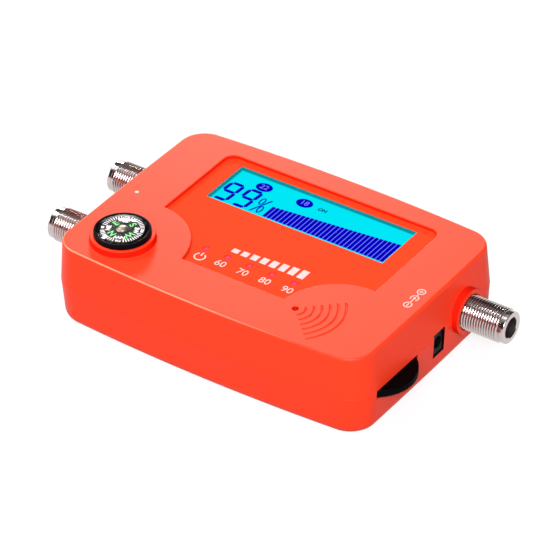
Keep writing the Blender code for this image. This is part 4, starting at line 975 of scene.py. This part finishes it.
def compass_boss():
    """The raised ring round the compass, with a soft foot and rim, and the pocket under it."""
    pocket = CUP_RADIUS + POCKET_GAP
    rim = pocket + BOSS_RIM_WIDTH
    outside = pocket + POCKET_WALL
    spread = rim + BOSS_FOOT_SPREAD + BOSS_FOOT_ROUND
    bottom = CUP_BOTTOM - GAP - POCKET_FLOOR
    foot = CASE_HEIGHT - INK / 4 + BOSS_FOOT_ROUND
    profile = [(0, bottom), (outside, bottom), (outside, CEILING + OVERLAP), (spread, CEILING + OVERLAP)]
    profile += quarter((spread, foot), BOSS_FOOT_ROUND, -math.pi)[::-1]
    profile += quarter((rim - BOSS_RIM_ROUND, BOSS_TOP - BOSS_RIM_ROUND), BOSS_RIM_ROUND, 0.0)
    return revolve("compass boss", profile + [(0, BOSS_TOP)], (*COMPASS, 0), segments=FINE_SEGMENTS)


def paint(shell, finish, wanted):
    """Gives the faces that a rule picks a finish of their own."""
    shell.data.materials.append(FINISH[finish])
    for face in shell.data.polygons:
        if wanted(face.center, face.normal):
            face.material_index = len(shell.data.materials) - 1


def on_label_floor(centre, normal):
    return normal.z > 0.9 and abs(centre.z - LABEL_HEIGHT) < GAP / 2


# Faces on the top edge's rounding, outside the label, that get the painted highlight
def on_painted_highlight(centre, normal):
    low = CASE_HEIGHT - TOP_EDGE_RADIUS * (1 - math.sin(CREASE_LOW_TURN))
    high = CASE_HEIGHT - TOP_EDGE_RADIUS * (1 - math.sin(CREASE_HIGH_TURN))
    outside = abs(centre.x) > LABEL_RIGHT + GAP or abs(centre.y) > LABEL_BACK + GAP
    return outside and low < centre.z < high


def on_painted_shade_face(centre, normal):
    """The upright faces of the label's edge, the compass boss and the sound hole, which get a darker red as
    painted shade.
    """
    in_label = (-LABEL_LEFT - GAP < centre.x < LABEL_RIGHT + GAP
                and -LABEL_FRONT - GAP < centre.y < LABEL_BACK + GAP
                and LABEL_HEIGHT < centre.z < CASE_HEIGHT - LABEL_EDGE_ROUND)
    in_boss = (math.dist(centre[:2], COMPASS) < CUP_RADIUS + POCKET_WALL
               and CASE_HEIGHT < centre.z < BOSS_TOP - GAP)
    in_sound_hole = math.dist(centre[:2], BUZZER) < SOUND_HOLE_RADIUS
    return abs(normal.z) < 0.5 and (in_label or in_boss or in_sound_hole)


# The collars' sides, which get the darker red painted shade
def on_shaded_collar_side(centre, normal):
    return abs(centre.x) > CASE_LENGTH / 2 + SEAM_FLARE and abs(normal.x) < 0.7


def in_power_opening(centre, normal):
    return (centre.x > CASE_LENGTH / 2 - WALL and abs(normal.x) < 0.5
            and abs(centre.y - DC_Y) < DC_OPENING_WIDTH / 2 + GAP
            and abs(centre.z - DC_AXIS_HEIGHT) < DC_OPENING_HEIGHT / 2 + GAP)


def paint_ends(shell):
    # painted shade on the collars' sides
    paint(shell, "step", on_shaded_collar_side)
    paint(shell, "black", in_power_opening)


def make_case_top():
    bottom = SEAM_HEIGHT + SEAM_GAP / 2
    rebate_top = SEAM_HEIGHT + LIP_HEIGHT + GAP
    rebate = LIP_THICKNESS + GAP - WALL
    sections = [(flare(CEILING) - WALL, CEILING), (flare(rebate_top) - WALL, rebate_top),
                (flare(rebate_top) + rebate, rebate_top), (flare(bottom) + rebate, bottom),
                (flare(bottom) - SEAM_ROUND, bottom), (flare(bottom + SEAM_ROUND), bottom + SEAM_ROUND)]
    sections += quarter((-TOP_EDGE_RADIUS, CASE_HEIGHT - TOP_EDGE_RADIUS), TOP_EDGE_RADIUS, 0.0)
    top = lofts("case_top", [[case_ring(*section) for section in sections]])
    combine(top, half_collars(bottom, True) + [compass_boss()], "UNION")
    low = CEILING - OVERRUN
    high = CASE_HEIGHT + OVERRUN
    tools = socket_holes() + [power_socket_hole(DC_AXIS_HEIGHT + DC_OPENING_HEIGHT / 2), label_tool()]
    tools.append(rod("pocket", CUP_RADIUS + POCKET_GAP, CUP_BOTTOM - GAP, BOSS_TOP + OVERRUN, (*COMPASS, 0),
                     segments=FINE_SEGMENTS))
    tools.append(plates("opening", [window_outline(0.0)], low, high))
    tools.append(rod("sound hole", SOUND_HOLE_RADIUS, low, high, (*BUZZER, 0), segments=SMALL_SEGMENTS))
    for index in range(len(LIGHT_NAMES)):
        place = (LIGHT_FIRST_X + LIGHT_PITCH * index, LIGHT_Y, 0)
        tools.append(rod("light hole", LIGHT_RADIUS + LIGHT_GAP, low, high, place, segments=SMALL_SEGMENTS))
    tools += [groove_tool(GROOVE_FIRST_RADIUS + GROOVE_PITCH * index) for index in range(GROOVE_COUNT)]
    combine(top, tools, "DIFFERENCE")
    paint(top, "label", on_label_floor)
    # painted highlight on the top edge
    paint(top, "crease", on_painted_highlight)
    # painted shade on the upright faces
    paint(top, "step", on_painted_shade_face)
    paint_ends(top)
    fit(smooth(top), "case", "upper_case")


def make_case_bottom():
    top = SEAM_HEIGHT - SEAM_GAP / 2
    lip_top = SEAM_HEIGHT + LIP_HEIGHT
    lip = LIP_THICKNESS - WALL
    sections = quarter((BOTTOM_FLARE - BOTTOM_EDGE_RADIUS, BOTTOM_EDGE_RADIUS), BOTTOM_EDGE_RADIUS,
                       -QUARTER_TURN)
    sections += [(flare(top - SEAM_ROUND), top - SEAM_ROUND), (flare(top) - SEAM_ROUND, top),
                 (flare(top) + lip, top), (flare(lip_top) + lip, lip_top), (flare(lip_top) - WALL, lip_top),
                 (flare(FLOOR) - WALL, FLOOR)]
    shell = lofts("case_bottom", [[case_ring(*section) for section in sections]])
    bosses = [rod("boss", SCREW_BOSS_RADIUS, FLOOR - OVERLAP, top, (*spot, 0)) for spot in CASE_SCREWS]
    combine(shell, bosses + half_collars(top, False), "UNION")
    tools = socket_holes() + [power_socket_hole(lip_top + OVERRUN)]
    tools.append(rod("wheel slot", WHEEL_RADIUS + WHEEL_CLEARANCE, WHEEL_BOTTOM - WHEEL_CLEARANCE,
                     lip_top + OVERRUN, (*WHEEL, 0), segments=FINE_SEGMENTS))
    head = SCREW_HEAD_RADIUS + GAP
    mouth = head + SCREW_MOUTH
    profile = [(0, -OVERRUN), (mouth + OVERRUN, -OVERRUN), (mouth, 0.0), (head, SCREW_MOUTH),
               (head, SCREW_SEAT), (0, SCREW_SEAT)]
    for spot in CASE_SCREWS:
        tools.append(revolve("screw hole", profile, (*spot, 0), segments=SMALL_SEGMENTS))
        tools.append(rod("lip cut", SCREW_BOSS_RADIUS + GAP, top, lip_top + OVERRUN, (*spot, 0)))
    combine(shell, tools, "DIFFERENCE")
    paint_ends(shell)
    fit(smooth(shell), "case", "lower_case")


# Prints on the case

def make_label_prints():
    level = LABEL_HEIGHT + INK / 2
    fit(grow("level_bars", "row", "ink", Thickness=INK, Start=(*LEVEL_BARS_START, level), **LEVEL_BARS),
        "case")
    for index, words in enumerate(("60", "70", "80", "90")):
        place = (LIGHT_FIRST_X + LIGHT_PITCH * (index + 1) + SCALE_SHIFT, SCALE_Y, level)
        lettering("number_" + words, words, SCALE_SIZE, place, "ink")
    x, y = POWER_SIGN
    half_stroke = POWER_SIGN_STROKE / 2
    start = QUARTER_TURN + POWER_SIGN_OPENING
    ring = band(POWER_SIGN, POWER_SIGN_RADIUS, POWER_SIGN_STROKE, start,
                start + math.tau - 2 * POWER_SIGN_OPENING, ROUND_SEGMENTS)
    low, high = POWER_SIGN_BAR
    stroke = bar(x - half_stroke, y + low, x + half_stroke, y + high)
    print_on("power_symbol", [ring, stroke], LABEL_HEIGHT, "ink")


def make_polarity_print():
    """The sign beside the power socket: a minus and a plus in rings, and an open ring round a dot."""
    x = POLARITY_X
    half_stroke = POLARITY_STROKE / 2
    outlines = []
    for y in (POLARITY_MINUS_Y, POLARITY_PLUS_Y):
        outlines += ring_bands((x, y), POLARITY_RADIUS, POLARITY_STROKE)
        outlines.append(bar(x - half_stroke, y - POLARITY_SIGN_REACH, x + half_stroke, y + POLARITY_SIGN_REACH))
    outlines.append(bar(x - POLARITY_SIGN_REACH, POLARITY_PLUS_Y - half_stroke, x + POLARITY_SIGN_REACH,
                        POLARITY_PLUS_Y + half_stroke))
    middle = (x, POLARITY_MIDDLE_Y)
    outlines.append(band(middle, POLARITY_RADIUS, POLARITY_STROKE, -POLARITY_OPENING,
                         math.pi + POLARITY_OPENING, ROUND_SEGMENTS))
    outlines.append(oval(middle, POLARITY_DOT_RADIUS, POLARITY_DOT_RADIUS, SMALL_SEGMENTS))
    outlines += [bar(x - half_stroke, low, x + half_stroke, high) for low, high in POLARITY_LINKS]
    print_on("polarity_sign", outlines, CASE_HEIGHT, "ink")
    dot = oval(WHITE_DOT, WHITE_DOT_RADIUS, WHITE_DOT_RADIUS, SMALL_SEGMENTS)
    print_on("white_dot", [dot], CASE_HEIGHT, "ink")


# Display

def digit_segments(left, wanted):
    """Outlines of a seven-segment digit. Segments run a to g, clockwise from the top, the middle last."""
    half = DIGIT_STROKE / 2
    near, far = left + half, left + DIGIT_WIDTH - half
    low, high = DIGIT_BASE + half, DIGIT_BASE + DIGIT_HEIGHT - half
    middle = DIGIT_BASE + DIGIT_HEIGHT / 2
    ends = {"a": (near, high, far, high), "b": (far, high, far, middle), "c": (far, middle, far, low),
            "d": (near, low, far, low), "e": (near, middle, near, low), "f": (near, high, near, middle),
            "g": (near, middle, far, middle)}
    outlines = []
    for letter in wanted:
        first, last = Vector(ends[letter][:2]), Vector(ends[letter][2:])
        along = (last - first).normalized()
        across = Vector((-along.y, along.x))
        start = first + along * DIGIT_STROKE * DIGIT_GAP_SHARE
        end = last - along * DIGIT_STROKE * DIGIT_GAP_SHARE
        shape = [start, start + (along - across) * half, end - (along + across) * half, end,
                 end + (across - along) * half, start + (along + across) * half]
        outlines.append([(p.x + DIGIT_SLANT * (p.y - middle), p.y) for p in shape])
    return outlines


def make_display():
    figures = [outline for left in DIGIT_LEFTS for outline in digit_segments(left, "abcdfg")]
    figures += [oval(centre, *BADGE_REACH) for centre in BADGES.values()]
    print_on("display_figures", figures, GLASS_TOP, "segment")
    for name, centre in PERCENT_RINGS.items():
        ring = between(oval(centre, *PERCENT_RING_REACH), oval(centre, *PERCENT_HOLE_REACH))
        print_on("percent_" + name, ring, GLASS_TOP, "segment")
    print_on("percent_stroke", [PERCENT_STROKE], GLASS_TOP, "segment")
    x, y = DISPLAY_BARS_START
    level = GLASS_TOP + INK / 2
    fit(grow("display_bars", "row", "segment", Thickness=INK, Start=(x, y, level), **DISPLAY_BARS), "case")
    end = x + DISPLAY_BARS["Pitch"] * (DISPLAY_BARS["Count"] - 1)
    ground = [(x, y), (end, y), (end, y + DISPLAY_BARS["Last_Height"]), (x, y + DISPLAY_BARS["First_Height"])]
    print_on("display_bar_ground", [ground], GLASS_TOP, "segment_light", INK / 2)
    for words, centre in BADGES.items():
        lettering("number_" + words, words, BADGE_SIZE, (*centre, level + INK), "segment_light")
    lettering("word_on", "ON", ON_SIZE, (*ON_PLACE, level), "teal", weight=BOLD)
    # A glowing dark teal frame round the window, painted as the shade in the gap
    shade_frame = between(window_outline(RIM_GAP), window_outline(RIM_GAP + RIM_WIDTH))
    print_on("display_rim", shade_frame, CEILING, "rim", WINDOW_TOP - CEILING)
    coat("display_panel", "glass")
    coat("display_window", "window")


def make_lights():
    """Each light's round body, dome and legs, in place of the plain one."""
    top = LABEL_HEIGHT - LIGHT_SINK
    bottom = top - LIGHT_BODY_HEIGHT
    flange = bottom + LIGHT_FLANGE_HEIGHT
    for index, name in enumerate(LIGHT_NAMES):
        x = LIGHT_FIRST_X + LIGHT_PITCH * index
        profile = [(0, bottom), (LIGHT_FLANGE_RADIUS, bottom), (LIGHT_FLANGE_RADIUS, flange),
                   (LIGHT_RADIUS, flange)] + dome(LIGHT_RADIUS, top - LIGHT_RISE, top, EDGE_SEGMENTS)
        pieces = [revolve(name + " body", profile, (x, LIGHT_Y, 0), FINISH["light"], segments=SMALL_SEGMENTS)]
        for leg in (x - LEG_SPREAD, x + LEG_SPREAD):
            pieces.append(box(name + " leg", (leg - LEG_REACH, LIGHT_Y - LEG_REACH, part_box(name)[0].z),
                              (leg + LEG_REACH, LIGHT_Y + LEG_REACH, bottom), FINISH["tin"]))
        fit(smooth(merge(name + "_lamp", pieces)), "case", name)


# Compass

def turned_piece(name, profile, centre, finish, body, *nodes):
    fit(smooth(revolve(name, profile, (*centre, 0), FINISH[finish], segments=FINE_SEGMENTS)), body, *nodes)


def make_compass():
    inner = CUP_RADIUS - CUP_RIM_WIDTH
    ledge = CUP_TOP - CUP_LEDGE
    seat = inner - CUP_LEDGE_WIDTH
    floor = CUP_BOTTOM + CUP_FLOOR
    bevel = CUP_EDGE * CUP_EDGE_SHARE
    profile = [(0, CUP_BOTTOM), (CUP_RADIUS - CUP_EDGE, CUP_BOTTOM), (CUP_RADIUS, CUP_BOTTOM + CUP_EDGE),
               (CUP_RADIUS, CUP_TOP - CUP_EDGE), (CUP_RADIUS - bevel, CUP_TOP - bevel),
               (CUP_RADIUS - CUP_EDGE, CUP_TOP), (inner + CUP_EDGE, CUP_TOP), (inner, CUP_TOP - CUP_EDGE),
               (inner, ledge), (seat, ledge), (seat, floor), (0, floor)]
    turned_piece("compass_housing", profile, COMPASS, "cup", "case", "compass_cup")
    radius = inner - GAP
    hollow_radius = radius - LENS_THICKNESS
    edge = LENS_BOTTOM + LENS_SKIRT
    outer = shallow_cap(radius, edge, edge + LENS_RISE)
    hollow = shallow_cap(hollow_radius, edge - LENS_THICKNESS / 2, edge + LENS_RISE - LENS_THICKNESS)
    profile = [(radius, LENS_BOTTOM)] + outer + hollow[::-1] + [(hollow_radius, LENS_BOTTOM)]
    turned_piece("compass_dome", profile, COMPASS, "lens", "case", "compass_lens")
    coat("compass_pivot", "steel")


def make_card():
    """The printed card that turns, with its ticks, letters and steel cap."""
    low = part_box("compass_card")[0].z
    under = CARD_FACE - CARD_THICKNESS
    bore, hub = CARD_HUB
    profile = [(0, under), (bore, under), (bore, low), (hub, low), (hub, under), (CARD_RADIUS, under),
               (CARD_RADIUS, CARD_FACE), (0, CARD_FACE)]
    turned_piece("compass_disc", profile, COMPASS, "card", "compass_card", "compass_card")
    centre = Vector((*COMPASS, CARD_FACE + INK / 2))
    spacing = math.tau / len(BEARINGS)
    ticks = grow("compass_ticks", "wreath", "card_ink_with_glow", Count=TICK_COUNT, Radius=TICK_RADIUS,
                 Length=TICK_LENGTH, Width=TICK_WIDTH, Thickness=INK, Group=TICK_COUNT / len(BEARINGS),
                 Skip=TICKS_LEFT_OUT, Turn=NORTH + spacing / 2, Centre=tuple(centre))
    fit(ticks, "compass_card")
    prints = (("letter_", "NESW", LETTER_RADIUS, LETTER_SIZE, 0.0, "green"),
              ("letters_", ("NE", "SE", "SW", "NW"), MARK_RADIUS, MARK_SIZE, 0.5, "card_ink_with_glow"),
              ("bearing_", BEARINGS, TICK_RADIUS, BEARING_SIZE, 0.5, "card_ink_with_glow"))
    for start, group, radius, size, shift, finish in prints:
        for index, words in enumerate(group):
            turn = NORTH - spacing * (index + shift)
            spot = centre + Vector((math.cos(turn), math.sin(turn), 0)) * radius
            lettering(start + words, words, size, spot, finish, turn - QUARTER_TURN, BOLD, "compass_card")
    step = CARD_FACE + CAP_STEP_HEIGHT
    cap = [(0, CARD_FACE), (CAP_RADIUS, CARD_FACE), (CAP_RADIUS, step)]
    cap += dome(CAP_RADIUS * CAP_DOME_SHARE, step + CAP_STEP_ROUND, CARD_FACE + CAP_HEIGHT, CAP_SEGMENTS)
    fit(smooth(revolve("compass_cap", cap, (*COMPASS, 0), FINISH["steel"])), "compass_card")


# Sockets

def make_sockets():
    root = THREAD_RADIUS - THREAD_DEPTH
    start = COLLAR_HEIGHT - THREAD_HIDDEN_TURNS * THREAD_PITCH
    stop = SOCKET_REACH - NOSE_LENGTH
    back = -WALL - SOCKET_INNER_REACH
    profile = [(BORE_RADIUS, back), (root, back), (root, stop), (NOSE_RADIUS - NOSE_EDGE, stop),
               (NOSE_RADIUS, stop + NOSE_EDGE)]
    profile += quarter((NOSE_RADIUS - NOSE_ROUND, SOCKET_REACH - NOSE_ROUND), NOSE_ROUND, 0.0)
    profile += [(BORE_RADIUS + BORE_CHAMFER, SOCKET_REACH), (BORE_RADIUS, SOCKET_REACH - BORE_CHAMFER)]
    for name, side, y in SOCKETS:
        face = wall_face(SOCKET_AXIS_HEIGHT, y)
        low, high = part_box(name + "_shell")
        barrel = smooth(revolve(name + " barrel", profile, (side * face, y, SOCKET_AXIS_HEIGHT),
                                FINISH["nickel"], side, FINE_SEGMENTS))
        paint(barrel, "insulator",
              lambda centre, normal: math.dist(centre[1:], (y, SOCKET_AXIS_HEIGHT)) < BORE_RADIUS)
        ridge = grow(name + " thread", "thread", "nickel", Turns=(stop - start) / THREAD_PITCH, Radius=root,
                     Length=stop - start - THREAD_DEPTH, Depth=THREAD_DEPTH, Rounding=THREAD_ROUND,
                     Direction=float(side), Start=(side * (face + start), y, SOCKET_AXIS_HEIGHT))
        inner_end = low.x if side > 0 else high.x - BLOCK_LENGTH
        block = box(name + " block", (inner_end, low.y, low.z), (inner_end + BLOCK_LENGTH, high.y, high.z),
                    FINISH["nickel"])
        fit(merge(name + "_body", [barrel, ridge, block]), "case", name + "_shell")
        coat(name + "_insulator", "insulator")
        coat(name + "_contact", "brass")
    coat("dc_socket_body", "black")
    coat("dc_socket_pin", "nickel")


# Thumb wheel

def make_wheel():
    top = WHEEL_BOTTOM + WHEEL_THICKNESS
    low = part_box("thumb_wheel")[0].z
    root = WHEEL_RADIUS - TOOTH_DEPTH
    profile = [(0, low), (WHEEL_SHAFT_RADIUS, low), (WHEEL_SHAFT_RADIUS, WHEEL_BOTTOM),
               (root - WHEEL_EDGE, WHEEL_BOTTOM), (root, WHEEL_BOTTOM + WHEEL_EDGE), (root, top - WHEEL_EDGE),
               (root - WHEEL_EDGE, top), (0, top)]
    disc = smooth(revolve("wheel disc", profile, (*WHEEL, 0), FINISH["wheel"], segments=FINE_SEGMENTS))
    teeth = grow("wheel teeth", "wreath", "wheel", Count=WHEEL_TEETH, Radius=root, Length=TOOTH_DEPTH * 2,
                 Width=TOOTH_WIDTH, Thickness=WHEEL_THICKNESS - WHEEL_EDGE, Group=1.0, Skip=0.0, Turn=0.0,
                 Centre=(*WHEEL, WHEEL_BOTTOM + WHEEL_THICKNESS / 2))
    fit(merge("knurled_wheel", [disc, teeth]), "thumb_wheel", "thumb_wheel")


# Screws

def make_case_screws():
    for index, (x, y) in enumerate(CASE_SCREWS):
        name = f"case_screw_{index + 1}"
        low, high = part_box(name)
        bottom = low.z
        under_head = bottom + SCREW_HEAD_HEIGHT
        profile = [(0, bottom), (SCREW_HEAD_RADIUS - SCREW_HEAD_EDGE, bottom),
                   (SCREW_HEAD_RADIUS, bottom + SCREW_HEAD_EDGE), (SCREW_HEAD_RADIUS, under_head),
                   (SCREW_SHANK_RADIUS, under_head), (SCREW_SHANK_RADIUS, high.z - SCREW_POINT), (0, high.z)]
        screw = revolve(name + "_steel", profile, (x, y, 0), FINISH["screw"], segments=SMALL_SEGMENTS)
        heights = ((1.0, bottom - OVERRUN), (1.0, bottom), (RECESS_TAPER_SHARE, bottom + RECESS_DEPTH))
        for wide, deep in ((RECESS_LENGTH, RECESS_WIDTH), (RECESS_WIDTH, RECESS_LENGTH)):
            rings = [[(px, py, height) for px, py in bar(x - wide * share, y - deep * share, x + wide * share,
                                                         y + deep * share)] for share, height in heights]
            combine(screw, [lofts("slot", [rings], FINISH["screw"])], "DIFFERENCE")
        fit(smooth(screw), "case", name)


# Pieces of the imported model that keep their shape

def coat(node, finish):
    """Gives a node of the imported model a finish."""
    for slot in NODES[node].material_slots:
        slot.material = FINISH[finish]


def coat_inner_parts():
    kept = {
        "display_backlight": "guide", "display_frame": "black", "potentiometer": "blue",
        "main_board": "board", "display_board": "board", "tuner_shield": "tin", "tuner_chip": "chip",
        "controller_chip": "chip", "voltage_regulator": "chip", "supply_capacitor": "tin",
        "header_plug": "black", "header_socket": "black", "buzzer": "black",
    }
    for board in ("main_board", "display_board"):
        for number in range(1, 5):
            kept[f"{board}_screw_{number}"] = "screw"
    for node, finish in kept.items():
        coat(node, finish)


# Studio

def make_camera():
    back = Vector((math.sin(CAMERA_AZIMUTH) * math.cos(CAMERA_ELEVATION),
                   -math.cos(CAMERA_AZIMUTH) * math.cos(CAMERA_ELEVATION), math.sin(CAMERA_ELEVATION)))
    right = Vector((0, 0, 1)).cross(back).normalized()
    up = back.cross(right)
    right, up = (math.cos(CAMERA_ROLL) * right + math.sin(CAMERA_ROLL) * up,
                 -math.sin(CAMERA_ROLL) * right + math.cos(CAMERA_ROLL) * up)
    data = bpy.data.cameras.new("camera")
    data.sensor_width = CAMERA_SENSOR
    data.lens = CAMERA_LENS
    data.clip_start = CAMERA_NEAR
    data.clip_end = CAMERA_FAR
    camera = new_object("camera", data)
    matrix = Matrix((right, up, back)).transposed().to_4x4()
    matrix.translation = back * CAMERA_DISTANCE + right * CAMERA_RIGHT + up * CAMERA_UP
    camera.matrix_world = matrix
    bpy.context.scene.camera = camera


def make_floor():
    """A pale floor that looks white but keeps the object's shadow."""
    material = new_finish("floor", (FLOOR_COLOUR,) * 3, 0.9)
    tree = material.node_tree
    strength = reckon(tree, "MULTIPLY", camera_or_gloss(tree), FLOOR_GLOW)
    glow = add_node(tree, "ShaderNodeEmission", Strength=strength)
    both = add_node(tree, "ShaderNodeAddShader", _0=shader_of(material).outputs["BSDF"],
                    _1=glow.outputs["Emission"])
    tree.links.new(both.outputs["Shader"], tree.nodes["Material Output"].inputs["Surface"])
    box("floor", (-FLOOR_REACH, -FLOOR_REACH, -FLOOR_THICKNESS),
                 (FLOOR_REACH, FLOOR_REACH, -FLOOR_GAP), material)


def make_world():
    """A dim sky that is bright straight above, with a white backdrop along the horizon."""
    world = bpy.data.worlds.new("studio")
    world.use_nodes = True
    tree = world.node_tree
    height = axes(tree, "Generated")["Z"]
    light = ramp(tree, height, SKY_DARK_BELOW, SKY_BRIGHT_ABOVE, SKY_LOW, SKY_HIGH)
    backdrop = ramp(tree, height, HORIZON_WHITE_BELOW, HORIZON_DARK_ABOVE, 1.0, 0.0)
    seen = reckon(tree, "MULTIPLY", camera_or_gloss(tree), backdrop)
    sky = tree.nodes["Background"]
    sky.inputs["Color"].default_value = (*WHITE, 1.0)
    tree.links.new(reckon(tree, "MAXIMUM", seen, light), sky.inputs["Strength"])
    bpy.context.scene.world = world


def make_lamp(name, place, target, width, depth, power, colour):
    """A soft rectangular lamp that faces its target."""
    data = bpy.data.lights.new(name, "AREA")
    data.shape = "RECTANGLE"
    data.size = width
    data.size_y = depth
    data.energy = power
    data.color = colour
    lamp = new_object(name, data)
    lamp.location = place
    lamp.rotation_euler = (Vector(target) - Vector(place)).to_track_quat("-Z", "Y").to_euler()


bpy.context.scene.view_settings.view_transform = "Standard"
FINISH = make_finishes()
TREES = {"row": row_tree(), "wreath": wreath_tree(), "thread": thread_tree()}
make_camera()
make_world()
make_floor()
for lamp_name, lamp_values in LAMPS.items():
    make_lamp(lamp_name, *lamp_values)
make_case_top()
make_case_bottom()
make_label_prints()
make_polarity_print()
make_display()
make_lights()
make_compass()
make_card()
make_sockets()
make_wheel()
make_case_screws()
coat_inner_parts()
